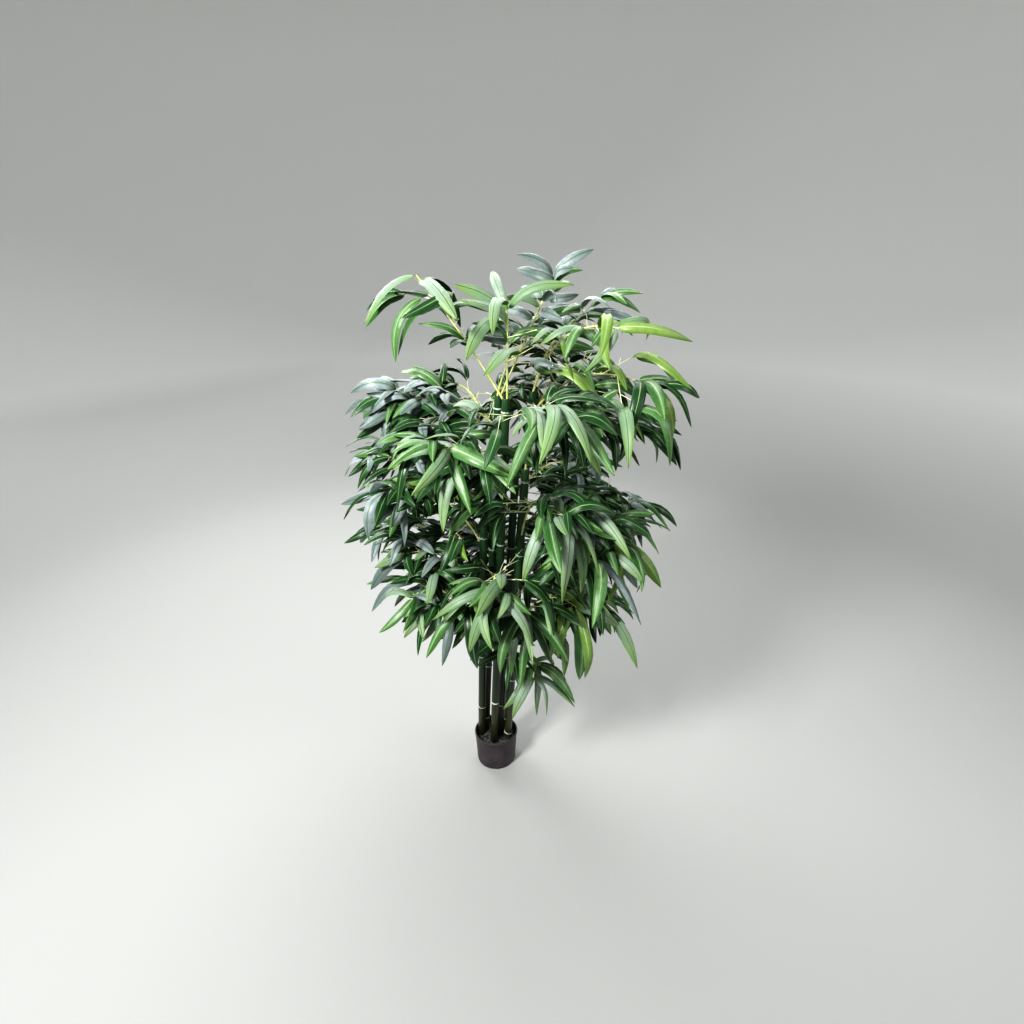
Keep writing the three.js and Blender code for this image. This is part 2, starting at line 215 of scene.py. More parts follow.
modulus = 2 ** 32
growth = {
    "seed": 4101,
    "spaceShare": 0.76,     # how much nearer than its own stem another stem may be to a leaf's point
    "pinch": 0.45,          # the same for the finer twigs and their leaves
    "rosetteShare": 0.4,    # and for the few leaves that are added at the end
    "attempts": 18,
}
streams = {     # the numbers that part the streams of random draws
    "fromStem": 20, "twiglet": 40, "sparse": 9, "rosette": 90, "nub": 60, "bareTwig": 61, "tint": 77,
}
hold = {        # radius and sides of the tubes that keep the limbs' places
    "cane": 8, "bough": (3.2, 4), "boughSteps": 4, "stem": (3, 3), "twigSides": 3,
    "skew": (0.31, 0.17, 0.93),     # a way that no limb runs, to set the tubes' first corners by
}
cane = {
    "radius": 13.5,
    "taper": 0.0008,
    "foot": 60,
    "ringRise": 1.7,
    "ringHalf": 4.5,
    "stub": 42,
    "stubStep": 0.9,
    "socketRadius": 10.4,
    "socketDepth": 12,
    "soil": 105,
    "sides": 40,
}
twigSizes = {"length": (0.42, 0.74), "splay": (42, 66), "wander": 55, "sag": 0.2, "radius": 1.6}
leafSizes = {
    "widthShare": 0.27,
    "sunk": 0.6,
    "fold": 0.16,
    "belly": 0.4,
    "arch": (0.06, 0.18),
    "lift": 0.75,
    "lean": 0.65,
    "spread": (0.82, 1.18),
    "pair": (-64, 64),
    "pairShare": 0.42,
    "fan": (0, -48, 48),
    "crown": (0, -38, 38, -76, 76),
    "step": 4.5,
    "around": 1.2,
    "wander": 16,
    "roll": 40,
    "stiffLength": 70,
    "droop": 0.32,
    "limpness": (0.2, 1.8),
    "follow": 0.5,
    "steepest": 1.35,
}

# name: foot at the soil, cut top, first and last ring, lengths between those rings
canes = {
    "left": ((-55, 9), (-30, -37), 245, 965, 3),
    "rear": ((-40, 39), (19, 52), 160, 1360, 5),
    "front": ((-8, -34), (43, -38), 295, 1373, 5),
    "mid": ((14, 6), (71, 8), 249, 1127, 4),
    "right": ((44, -12), (101, -46), 133, 1161, 4),
    "back": ((22, 55), (124, 84), 139, 1364, 5),
}

# name, cane, root, bare share, heading, reach, climb, arch, lean, twigs, leaf, tints
# tints: d near-black, for dark green and painted shade; m mid green; b pale mint, painted sheen; s grey-blue,
# painted sheen; y yellow-green
sprays = [
    ("top_left", "front", (-3.8, 0), 0.25, 186, 230, 345, 30, 0.45, 5, 175, "bmdmbd"),
    ("top_front", "front", (3.8, 0), 0.25, 272, 50, 270, 30, 0.4, 5, 200, "bbmbb"),
    ("top_high", "rear", (3.8, 0), 0.25, 356, 155, 350, 5, 0.5, 6, 130, "sssmsb"),
    ("top_back", "rear", (-3.8, 0), 0.25, 38, 195, 145, 150, 0.25, 5, 134, "ddmsd"),
    ("top_right", "back", (0, 3.8), 0.25, 353, 190, 240, 170, 0.25, 5, 130, "ssmdm"),
    ("top_far", "back", (0, -3.8), 0.25, 320, 285, 225, 190, 0.25, 5, 205, "ybmby"),
    ("upper_side", "back", 1330, 0.25, 321, 370, 155, 140, 0.42, 5, 185, "ymbdm"),
    ("upper_right", "back", 1240, 0, 352, 320, 60, 90, 0.42, 5, 184, "ddddm"),
    ("upper_front", "right", (0, -3.8), 0.25, 278, 275, 260, 200, 0.25, 4, 212, "bbmmb"),
    ("upper_left", "rear", 1300, 0.25, 186, 320, 80, 110, 0.42, 5, 141, "sssdsm"),
    ("upper_near", "front", 1180, 0, 256, 220, 95, 105, 0.42, 4, 143, "msdmd"),
    ("upper_inner", "rear", 1270, 0, 210, 265, 70, 110, 0.42, 4, 150, "dsdsd"),
    ("upper_back_left", "rear", 1260, 0, 156, 195, 155, 140, 0.42, 5, 134, "sdmd"),
    ("upper_back_right", "back", 1310, 0, 37, 245, 120, 130, 0.42, 5, 143, "dmsd"),
    ("middle_front", "left", (0, -3.8), 0.25, 256, 290, 365, 260, 0.25, 4, 215, "bbmbm"),
    ("middle_far_left", "rear", 1140, 0.25, 178, 375, 60, 110, 0.42, 5, 141, "sdsdm"),
    ("middle_left", "left", 930, 0, 198, 290, 230, 175, 0.42, 5, 143, "dmsdsy"),
    ("middle_near", "right", 960, 0.25, 282, 310, 220, 175, 0.42, 4, 212, "bbmbm"),
    ("middle_right", "right", 900, 0.25, 329, 315, 140, 130, 0.42, 5, 192, "mbysm"),
    ("middle_far_right", "back", 950, 0.25, 355, 370, 95, 110, 0.42, 5, 138, "dssmbd"),
    ("middle_back_left", "rear", 980, 0, 145, 295, 85, 110, 0.42, 5, 143, "ddsm"),
    ("middle_back", "mid", 1080, 0, 40, 255, 60, 95, 0.42, 5, 143, "mdsd"),
    ("middle_back_right", "back", 900, 0, 36, 320, 140, 140, 0.42, 5, 143, "dmds"),
    ("upper_back", "rear", 1330, 0, 80, 220, 15, 110, 0.42, 4, 138, "mdsb"),
    ("lower_back", "back", 780, 0, 100, 235, -20, 100, 0.42, 4, 145, "dmdb"),
    ("lower_far_left", "rear", 840, 0, 168, 390, 90, 110, 0.42, 5, 141, "ddsdm"),
    ("lower_left", "left", 740, 0, 189, 245, 180, 140, 0.42, 5, 138, "ddsdb"),
    ("skirt_left", "left", 600, 0, 213, 245, 210, 165, 0.42, 5, 152, "bmdms"),
    ("lower_front", "front", 720, 0.25, 268, 275, 210, 170, 0.42, 4, 215, "bbmbm"),
    ("skirt_front", "mid", 620, 0, 282, 250, 200, 155, 0.42, 4, 198, "bmmdb"),
    ("skirt_right", "right", 590, 0.25, 322, 240, 205, 170, 0.42, 4, 212, "bmbyb"),
    ("lower_right", "back", 700, 0, 2, 280, -5, 65, 0.42, 5, 148, "ddsm"),
    ("skirt_back_left", "rear", 650, 0, 139, 270, 90, 110, 0.42, 5, 143, "dmds"),
    ("skirt_back_right", "back", 640, 0, 48, 260, 75, 105, 0.42, 5, 143, "dmdb"),
    ("foot_right", "right", 440, 0, 325, 110, 60, 80, 0.42, 3, 150, "bbmbd"),
    ("foot_front", "mid", 470, 0, 287, 110, 85, 80, 0.42, 3, 132, "dmd"),
]
rowFields = ("name", "host", "root", "bare", "heading", "reach", "climb", "arch", "lean", "twigs", "leaf",
             "tints")
rows = [dict(zip(rowFields, row)) for row in sprays]
up = np.array((0.0, 0.0, 1.0))


def nextState(state):
    return (state * 1664525 + 1013904223) % modulus


def makeRandom(*place):  # a repeatable stream of numbers for one place in the plant
    state = growth["seed"]
    for index in place:
        state = nextState(state + index)

    def draw(low, high):
        nonlocal state
        state = nextState(state)
        return low + (high - low) * state / modulus

    return draw


def unit(vector):
    return vector / np.linalg.norm(vector)


def compass(degrees):
    angle = math.radians(degrees)
    return np.array((math.cos(angle), math.sin(angle), 0))


def caneTop(host):
    return canes[host][3] + cane["stub"]


def caneAxis(host, height):
    foot, head = (np.array(point, float) for point in canes[host][:2])
    share = (height - cane["soil"]) / (caneTop(host) - cane["soil"])
    return np.array((*(foot + (head - foot) * share), height))


def caneRadius(height):
    return cane["radius"] - cane["taper"] * height


def bendPoint(curve, share):
    first, second, third = curve
    return first * (1 - share) ** 2 + second * 2 * share * (1 - share) + third * share ** 2


def limbCurve(row):
    inTop = isinstance(row["root"], tuple)
    root = caneAxis(row["host"], caneTop(row["host"]) - cane["socketDepth"] if inTop else row["root"])
    if inTop:
        root = root + np.array((*row["root"], 0))
    tip = root + compass(row["heading"]) * row["reach"] + up * row["climb"]
    return root, root + (tip - root) * row["lean"] + up * row["arch"], tip


def stretch(curve, start, end):  # the part of a bending curve between two shares of its way
    first, second, third = curve
    near, far = first + (second - first) * start, second + (third - second) * start
    return bendPoint(curve, start), near + (far - near) * end, bendPoint(curve, end)


def spacedPoints(curve, steps, fineness=200):  # points at even distances along the curve
    fine = np.array([bendPoint(curve, i / fineness) for i in range(fineness + 1)])
    way = np.concatenate(([0], np.cumsum(np.linalg.norm(np.diff(fine, axis=0), axis=1))))
    shares = np.interp(np.linspace(0, way[-1], steps + 1), way, np.linspace(0, 1, fineness + 1))
    return np.array([bendPoint(curve, share) for share in shares]), way[-1]


def along(spine, share):
    place = share * (len(spine) - 1)
    index = min(int(place), len(spine) - 2)
    step = spine[index + 1] - spine[index]
    return spine[index] + step * (place - index), unit(step)


def branchOff(direction, splay, turn, side=1):
    sideways = unit(np.cross(direction, up))
    above = np.cross(sideways, direction)
    outward = direction * math.cos(splay)
    return outward + (sideways * side * math.cos(turn) + above * math.sin(turn)) * math.sin(splay)


def planTwig(row, spine, index, draw):
    point, direction = along(spine, (index + 0.5) / (row["twigs"] + 1))
    turn = math.radians(180 * (index % 2) + draw(-twigSizes["wander"], twigSizes["wander"]))
    splay = math.radians(draw(*twigSizes["splay"]))
    length = row["leaf"] * draw(*twigSizes["length"])
    outward = branchOff(direction, splay, turn)
    return np.array((point, point + outward * length - up * twigSizes["sag"] * length))


def planLeaf(size, spine, share, yaw, draw):
    point, direction = along(spine, share)
    turn = yaw * (1 + leafSizes["around"] * direction[2] ** 2)
    turn = turn + draw(-leafSizes["wander"], leafSizes["wander"])
    heading = math.atan2(direction[1], direction[0]) + math.radians(turn)
    length = size * draw(*leafSizes["spread"])
    droop = (length - leafSizes["stiffLength"]) * leafSizes["droop"] * draw(*leafSizes["limpness"])
    fall = max(math.asin(direction[2]) * leafSizes["follow"] - math.radians(droop), -leafSizes["steepest"])
    outward = compass(math.degrees(heading)) * math.cos(fall) + up * math.sin(fall)
    arch = draw(*leafSizes["arch"])
    roll = math.radians(draw(-leafSizes["roll"], leafSizes["roll"]))
    level = unit(outward * (1, 1, 0))
    face = up * leafSizes["lift"] + level * leafSizes["lean"]
    face = unit(face - outward * np.dot(face, outward))
    face = face * math.cos(roll) + np.cross(outward, face) * math.sin(roll)
    return {"root": point, "direction": outward, "face": face, "length": length, "arch": arch}


leafFaces = ((0, 2, 3), (0, 3, 1), (2, 4, 3), (3, 4, 1), (0, 1, 2), (1, 4, 2))


def bladeOf(leaf):  # the plain blade that keeps a leaf's place: root, left, right, ridge and tip
    side = np.cross(leaf["face"], leaf["direction"])
    width = leaf["length"] * leafSizes["widthShare"]
    belly = leaf["root"] + leaf["direction"] * leafSizes["belly"] * leaf["length"]
    belly = belly + leaf["face"] * leaf["arch"] * leaf["length"]
    tip = leaf["root"] + leaf["direction"] * leaf["length"]
    root = leaf["root"] - leaf["direction"] * leafSizes["sunk"]
    return np.array((root, belly + side * width / 2, belly - side * width / 2,
                     belly + leaf["face"] * leafSizes["fold"] * width, tip))


def bandFaces(near, far, count):  # the faces between two rings of points
    return [(near + i, near + (i + 1) % count, far + (i + 1) % count, far + i) for i in range(count)]


def tubeOf(spine, radius, sides):
    points, faces = [], []
    for place, point in enumerate(spine):
        _, direction = along(spine, place / (len(spine) - 1))
        across = unit(np.cross(direction, hold["skew"]))
        other = np.cross(direction, across)
        for i in range(sides):
            angle = 2 * math.pi * i / sides
            points.append(point + (across * math.cos(angle) + other * math.sin(angle)) * radius)
    for place in range(len(spine) - 1):
        faces += bandFaces(place * sides, (place + 1) * sides, sides)
    return np.array(points), faces


class Space:  # what is in place already, so that a new twig or leaf may touch only what it grows from
    def __init__(self):
        self.trees, self.lows, self.highs = [], [], []

    def settle(self, points, faces):
        self.trees.append(BVHTree.FromPolygons(points.tolist(), faces))
        self.lows.append(points.min(0))
        self.highs.append(points.max(0))
        return len(self.trees) - 1

    def isClear(self, points, faces, joined):
        low, high = points.min(0), points.max(0)
        near = np.all((np.array(self.lows) < high) & (np.array(self.highs) > low), axis=1)
        tree = BVHTree.FromPolygons(points.tolist(), faces)
        return not any(tree.overlap(self.trees[i]) for i in np.flatnonzero(near) if i not in joined)


space = Space()
for host in canes:
    line = np.array([caneAxis(host, cane["soil"]), caneAxis(host, caneTop(host) - cane["socketDepth"])])
    space.settle(*tubeOf(line, cane["radius"], hold["cane"]))

stems = []
for row in rows:
    limb = limbCurve(row)
    if row["bare"] > 0:
        boughLine, _ = spacedPoints(stretch(limb, 0, row["bare"]), hold["boughSteps"])
        space.settle(*tubeOf(boughLine, *hold["bough"]))
    spine, length = spacedPoints(stretch(limb, row["bare"], 1), row["twigs"] + 1)
    piece = space.settle(*tubeOf(spine, *hold["stem"]))
    stems.append({"row": row, "limb": limb, "spine": spine, "length": length, "piece": piece, "twigs": []})

segmentStarts = np.array([point for stem in stems for point in stem["spine"][:-1]])
segmentSteps = np.array([step for stem in stems for step in np.diff(stem["spine"], axis=0)])
segmentOwners = np.array([n for n, stem in enumerate(stems) for _ in stem["spine"][:-1]])


def inOwnSpace(point, number, share):  # may not be far nearer to another stem than to its own
    reach = point - segmentStarts
    part = np.clip((reach * segmentSteps).sum(1) / (segmentSteps ** 2).sum(1), 0, 1)
    away = np.linalg.norm(reach - segmentSteps * part[:, None], axis=1)
    return away[segmentOwners != number].min() > away[segmentOwners == number].min() * share


leaves = []
bareTwigs = []


def growLeaf(number, carrier, share, yaw, place, joined, size, ownShare):
    for attempt in range(growth["attempts"]):
        leaf = planLeaf(size, carrier["spine"], share, yaw, makeRandom(*place, attempt))
        shape = bladeOf(leaf)
        isOwn = all(inOwnSpace(shape[corner], number, ownShare) for corner in (1, 2, 4))
        if isOwn and space.isClear(shape, leafFaces, joined):
            rank = "pair" if abs(yaw) == leafSizes["pair"][1] else carrier.get("rank", "crown")
            leaf.update(number=number, foot=carrier.get("foot", 1), rank=rank)
            leaves.append(leaf)
            return space.settle(shape, leafFaces)
    return None


def growLeaves(number, carrier, share, yaws, place, size, ownShare):
    joined = [carrier["piece"]]
    for order, yaw in enumerate(yaws):
        root = share - (leafSizes["step"] * order + leafSizes["sunk"]) / carrier["length"]
        found = growLeaf(number, carrier, root, yaw, (*place, order), joined, size, ownShare)
        if found is not None:
            joined.append(found)


for number, stem in enumerate(stems):
    count = stem["row"]["twigs"]
    for i in range(count):
        line = planTwig(stem["row"], stem["spine"], i, makeRandom(number, i))
        tube = tubeOf(line, twigSizes["radius"], hold["twigSides"])
        if inOwnSpace(line[1], number, growth["spaceShare"]) and space.isClear(*tube, [stem["piece"]]):
            stem["twigs"].append({
                "spine": line, "length": np.linalg.norm(line[1] - line[0]), "piece": space.settle(*tube),
                "place": (number, i), "foot": (i + 0.5) / (count + 1), "rank": "fan"})

for number, stem in enumerate(stems):
    size, ownShare = stem["row"]["leaf"], growth["spaceShare"]
    growLeaves(number, stem, 1, leafSizes["crown"], (number, stem["row"]["twigs"], 0), size, ownShare)
    for twig in stem["twigs"]:
        growLeaves(number, twig, 1, leafSizes["fan"], (*twig["place"], 0), size, ownShare)
        pairPlace = (*twig["place"], 1)
        growLeaves(number, twig, leafSizes["pairShare"], leafSizes["pair"], pairPlace, size, ownShare)
print("grown as in the frame:", sum(len(stem["twigs"]) for stem in stems), "twigs", len(leaves), "leaves")

# The finer twigs: the same rule once more, from each twig and from the stem itself
finer = {
    "shares": (0.15, 0.35, 0.55, 0.75, 0.92),
    "fromStem": 3,          # for each of the stem's own twigs
    "firstFoot": 0.8,       # in steps along the stem
    "bareNear": 95,         # nearer to the cane than this, none grow in the sprays that face the front
    "front": (190, 350),
    "length": (0.28, 0.46),
    "splay": (38, 62),
    "tilt": (-35, 50),
    "sizeShare": 0.8,       # of the spray's own leaves, but no longer than this
    "longest": 118,
    "fan": (0, -46, 46),
    "radius": 1.1,
    "sparse": {"top_left": 0.15, "top_front": 0.25, "top_high": 0.2, "top_right": 0.35, "top_far": 0.25,
               "top_back": 0.35, "foot_right": 0.3, "foot_front": 0.6, "upper_side": 0.3},
}


def planTwiglet(twig, share, turnSide, size, draw):
    point, direction = along(twig["spine"], share)
    splay = math.radians(draw(*finer["splay"]))
    tilt = math.radians(draw(*finer["tilt"]))
    outward = branchOff(direction, splay, tilt, turnSide)
    return np.array((point, point + outward * size * draw(*finer["length"])))


def isSkipped(row, twig, share, place):
    foot, _ = along(twig["spine"], share)
    inFront = finer["front"][0] < row["heading"] < finer["front"][1]
    nearCane = math.dist(foot[:2], caneAxis(row["host"], foot[2])[:2]) < finer["bareNear"]
    luck = makeRandom(*place, streams["sparse"])(0, 1)
    return inFront and nearCane or luck > finer["sparse"].get(row["name"], 1)


twiglets = []
for number, stem in enumerate(stems):
    row = stem["row"]
    size = min(row["leaf"] * finer["sizeShare"], finer["longest"])
    carriers = [(twig, order, share) for twig in stem["twigs"] for order, share in enumerate(finer["shares"])]
    count = finer["fromStem"] * row["twigs"]
    carriers += [(stem, order, (order + finer["firstFoot"]) / (count + 1)) for order in range(count)]
    for twig, order, share in carriers:
        place = (*twig.get("place", (number, streams["fromStem"])), streams["twiglet"] + order)
        if isSkipped(row, twig, share, place):
            continue
        turnSide = 1 if (order + number) % 2 else -1
        line = planTwiglet(twig, share, turnSide, size / finer["sizeShare"], makeRandom(*place))
        tube = tubeOf(line, finer["radius"], hold["twigSides"])
        if not inOwnSpace(line[1], number, growth["pinch"]) or not space.isClear(*tube, [twig["piece"]]):
            continue
        twiglet = {
            "spine": line, "length": np.linalg.norm(line[1] - line[0]), "piece": space.settle(*tube),
            "number": number, "foot": twig.get("foot", share), "rank": "fine"}
        before = len(leaves)
        growLeaves(number, twiglet, 1, finer["fan"], (*place, 1), size, growth["pinch"])
        (twiglets if len(leaves) > before else bareTwigs).append(twiglet)
print("with the finer twigs:", len(twiglets), "twiglets", len(bareTwigs), "bare", len(leaves), "leaves")

# Gaps between the tiers: parts of the canes that stay in sight from the plant's front, and bare stems
gaps = {
    "eye": (60, -1807, 1880),
    "sky": ((410, 1147, 56, 43), (372, 1538, 34, 50), (460, 1385, 26, 24), (-39, 1435, 41, 55)),
    "margin": 3,
    "inSight": (("front", 1255, 1415), ("right", 745, 1205), ("mid", 780, 1110), ("left", 835, 975)),
    "bareStems": {"top_left": 0.55},
    "endOn": 0.94,      # leaves that point nearer to the eye than this are left out
    "tested": (0.15, 0.3, 0.45, 0.6, 0.75, 0.9),    # shares of a leaf's length
}
eye = np.array(gaps["eye"], float)


def seenAt(point, depth):  # where the line of sight through a point crosses an upright plane
    return eye + (point - eye) * (depth - eye[1]) / (point[1] - eye[1])


def hides(point):
    for host, low, high in gaps["inSight"]:
        depth = caneAxis(host, (low + high) / 2)[1]
        seen = seenAt(point, depth)
        aside = abs(seen[0] - caneAxis(host, seen[2])[0])
        if point[1] < depth and low < seen[2] < high and aside < cane["radius"] + gaps["margin"]:
            return True
    seen = seenAt(point, 0)
    return any(((seen[0] - x) / wide) ** 2 + ((seen[2] - z) / tall) ** 2 < 1
               for x, z, wide, tall in gaps["sky"])


def closesGap(leaf):
    for share in gaps["tested"]:
        bow = leaf["face"] * leaf["arch"] * 4 * share * (1 - share)
        if hides(leaf["root"] + (leaf["direction"] * share + bow) * leaf["length"]):
            return True
    return False


def bareShare(name):
    return gaps["bareStems"].get(name, 0)


def stays(leaf):
    onBareStem = leaf["foot"] < bareShare(rows[leaf["number"]]["name"])
    endOn = abs(leaf["direction"] @ unit(leaf["root"] - eye)) > gaps["endOn"]
    return not onBareStem and not endOn and not closesGap(leaf)


leaves = [leaf for leaf in leaves if stays(leaf)]
rosettes = [    # a few more leaves: spray, share of its stem, turns off the stem's heading, length, tint
    ("top_front", 0.84, (-46, -24, -62), 175, "b"),
    ("top_front", 0.5, (-44, 40), 130, "m"),
    ("top_left", 0.33, (4, -30), 160, "m"),
    ("top_left", 0.26, (40, -55), 120, "d"),
    ("top_left", 0.52, (-10,), 95, "s"),
]
paintedShadePairs = (   # and pairs of dark ones deep in the back, as painted shade
    ("middle_back", 0.12, 50), ("middle_back", 0.35, 60), ("middle_back_left", 0.12, 50),
    ("middle_back_right", 0.12, 50), ("lower_back", 0.15, 50), ("lower_back", 0.4, 60),
    ("skirt_back_right", 0.15, 50), ("skirt_back_left", 0.15, 50),
)
rosettes += [(name, share, (-yaw, yaw), 125, "d") for name, share, yaw in paintedShadePairs]
for order, (name, share, yaws, size, kind) in enumerate(rosettes):
    number = next(n for n, row in enumerate(rows) if row["name"] == name)
    before = len(leaves)
    place = (number, streams["rosette"], order)
    growLeaves(number, stems[number], share, yaws, place, size, growth["rosetteShare"])
    for leaf in leaves[before:]:
        leaf["given"] = kind
for stem in stems:
    stem["twigs"] = [twig for twig in stem["twigs"] if twig["foot"] > bareShare(stem["row"]["name"])]
twiglets = [twiglet for twiglet in twiglets if twiglet["foot"] > bareShare(rows[twiglet["number"]]["name"])]
print("with the gaps open:", len(leaves), "leaves")

# Limbs: boughs and stems in one piece, twigs in another, each swept along its own line

limbLook = {
    "sides": 8,
    "twigSides": 6,
    "boughRadius": (3.4, 2.9),
    "stemRadius": (2.9, 1.8),
    "twigRadius": (1.6, 1.1),
    "twigletRadius": (1.15, 0.8),
    "steps": {"bough": 14, "stem": 90, "twig": 24, "twiglet": 8},
    "knuckle": 1.4,          # how much thicker a limb is where something branches off
    "knuckleSpan": 0.022,    # shares of its length, here and below
    "boughJoint": 0.5,
    "twigEnd": 0.97,
    "twigletEnd": 0.95,
    "bow": 0.03,
}
stemCoating = {
    "color": (0.58, 0.64, 0.17), "roughness": 0.5, "gloss": 0.4,
    "layers": (((26,), (0.38, 0.66), (0.78, 0.78, 0.46)), ((420, 2), (0.62, 0.8), (0.3, 0.42, 0.08))),
    "grain": ((420, 2), 0.35, 0.0006),
}
twigCoating = {
    "color": (0.6, 0.66, 0.3), "roughness": 0.55, "gloss": 0.4,
    "layers": (((34,), (0.35, 0.62), (0.82, 0.82, 0.6)), ((34,), (0.62, 0.75), (0.34, 0.46, 0.16))),
    "grain": ((500, 2), 0.3, 0.0005),
}


def sweepTree():
    tree, given = newTree("sweptLimbs", (("Sides", "Int"), ("Finish", "Material")))
    lines = addNode(tree, "GeometryNodeMeshToCurve", {"Mesh": given["Geometry"]})
    ring = addNode(tree, "GeometryNodeCurvePrimitiveCircle", {"Resolution": given["Sides"], "Radius": 1.0})
    tube = addNode(tree, "GeometryNodeCurveToMesh", {
        "Curve": lines.outputs[0], "Profile Curve": ring.outputs["Curve"], "Scale": named(tree, "thick"),
        "Fill Caps": True})
    smooth = addNode(tree, "GeometryNodeSetShadeSmooth", {"Geometry": tube.outputs[0]})
    endTree(tree, smooth.outputs[0], given["Finish"])
    return tree


def lineSet():
    return {"points": [], "edges": [], "thick": []}


def addLine(lines, points, radii):
    start = len(lines["points"])
    lines["points"].extend(points)
    lines["thick"].extend(radii)
    lines["edges"].extend((start + i, start + i + 1) for i in range(len(points) - 1))


def tapered(points, radii, knuckles=()):
    shares = np.linspace(0, 1, len(points))
    thick = radii[0] + (radii[1] - radii[0]) * shares
    for knuckle in knuckles:
        swell = np.exp(-((shares - knuckle) / limbLook["knuckleSpan"]) ** 2)
        thick = thick * (1 + (limbLook["knuckle"] - 1) * swell)
    return thick


def sweep(name, lines, tree, sides, material):
    mesh = meshOf(name + "Lines", np.array(lines["points"]) * mm, edges=lines["edges"])
    setAttribute(mesh, "thick", np.array(lines["thick"]) * mm)
    return runTree(name, addPiece(name + "Base", mesh), tree, {"Sides": sides, "Finish": material})


def bowed(line, amount, steps):  # a straight twig with a little natural bow
    middle = (line[0] + line[1]) / 2 + up * np.linalg.norm(line[1] - line[0]) * amount
    return np.array([bendPoint((line[0], 2 * middle - (line[0] + line[1]) / 2, line[1]), i / steps)
                     for i in range(steps + 1)])


def makeLimbs():
    tree, steps = sweepTree(), limbLook["steps"]
    boughs, twigs = lineSet(), lineSet()
    for stem in stems:
        row = stem["row"]
        if row["bare"] > 0:
            points, _ = spacedPoints(stretch(stem["limb"], 0, row["bare"]), steps["bough"])
            addLine(boughs, points, tapered(points, limbLook["boughRadius"], (limbLook["boughJoint"],)))
        points, _ = spacedPoints(stretch(stem["limb"], row["bare"], 1), steps["stem"])
        knuckles = [(i + 0.5) / (row["twigs"] + 1) for i in range(row["twigs"])]
        addLine(boughs, points, tapered(points, limbLook["stemRadius"], knuckles))
        for twig in stem["twigs"]:
            points = bowed(twig["spine"], 0, steps["twig"])
            knuckles = (leafSizes["pairShare"], limbLook["twigEnd"])
            addLine(twigs, points, tapered(points, limbLook["twigRadius"], knuckles))
    for twiglet in twiglets:
        points = bowed(twiglet["spine"], limbLook["bow"], steps["twiglet"])
        addLine(twigs, points, tapered(points, limbLook["twigletRadius"], (limbLook["twigletEnd"],)))
    addNubs(twigs)
    piece = sweep("boughs", boughs, tree, limbLook["sides"], makeFinish("stemCoating", stemCoating))
    putOn(piece, "bough", *[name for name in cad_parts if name.startswith("bough_")])
    piece = sweep("twigs", twigs, tree, limbLook["twigSides"], makeFinish("twigCoating", twigCoating))
    putOn(piece, "bough")


# Nubs: the bare twiglets with short spurs, turn about, that stand between the leaves
nubs = {
    "count": 4, "length": (16, 34), "spur": (2.6, 4.6), "radius": (0.75, 0.55),
    "spurRadius": (0.8, 0.95, 0.8), "spurSwell": 0.6, "spurLean": 0.6, "zigzag": 0.07, "jitter": (-1, 1),
    "skew": 0.3, "firstFoot": 0.8, "aside": 0.8, "forth": 0.7, "lift": (-0.1, 0.5),
}


def addNub(twigs, root, direction, draw):
    sideways = unit(np.cross(direction, up + direction[::-1] * nubs["skew"]))
    length = draw(*nubs["length"])
    count = nubs["count"]
    points = [root]
    for i in range(1, count + 1):
        lean = sideways * (nubs["zigzag"] if i % 2 else -nubs["zigzag"]) * length
        points.append(root + direction * length * i / count + lean + up * draw(*nubs["jitter"]))
    addLine(twigs, points, tapered(points, nubs["radius"]))
    for point, side in zip(points[1:], (1, -1) * count):
        spur = unit(direction * nubs["spurLean"] + sideways * side) * draw(*nubs["spur"])
        spine = np.array((point, point + spur * nubs["spurSwell"], point + spur))
        addLine(twigs, spine, nubs["spurRadius"])


def addNubs(twigs):
    for number, stem in enumerate(stems):
        count = 2 * stem["row"]["twigs"] + 1
        for i in range(count):
            draw = makeRandom(number, streams["nub"], i)
            point, direction = along(stem["spine"], (i + nubs["firstFoot"]) / (count + 1))
            heading = compass(draw(0, 360)) * nubs["aside"] + direction * nubs["forth"]
            addNub(twigs, point, unit(heading + up * draw(*nubs["lift"])), draw)
    for number, twiglet in enumerate(bareTwigs):
        foot, end = twiglet["spine"]
        addNub(twigs, foot, unit(end - foot), makeRandom(number, streams["bareTwig"]))


makeLimbs()
print("limbs made")

# Leaves: one bent blade, set on every root and shaped there by the root's own direction and size

blade = {
    "stations": (0, 0.03, 0.06, 0.11, 0.19, 0.3, 0.43, 0.57, 0.7, 0.81, 0.9, 0.96, 1),
    "width": 0.22,            # for each part of the length
    "rootSpan": 0.13,
    "rootPower": 0.52,
    "tipFrom": 0.5,
    "tipPower": 0.78,
    "leastHalf": 0.0022,
    "stalk": 0.035,           # share of the length that is a bare stalk
    "stalkHalf": 0.0045,
    "thick": 0.35,            # of each side, millimetres
    "lobe": 0.028,            # how far the blade swells on both sides of the midrib
    "lobePlace": 0.52,        # share of the half width
    "edge": -0.028,
    "wave": 4.5,
    "waveScale": 30.0,
    "archShare": 1.5,
    "humpTop": 0.24,          # of share * (1 - share), where the arch has its full height
    "early": (1.3, 0.6),      # the arch is fuller near the root than near the tip
    "limp": {"top_far": 1.3, "upper_side": 1.4, "skirt_right": 1.3, "middle_right": 1.2, "top_left": 0.85},
    "girth": (0.85, 1.15),
    "slimming": 0.55,         # long leaves are slimmer for their length
    "usualLength": 130,
    "sway": (-0.09, 0.09),    # how far a leaf curves sideways, for each part of the length
    "twist": (-0.8, 0.8),
}
rib = {"half": (0.0095, 0.0045), "most": 0.8, "rise": 0.001, "proud": 0.25}


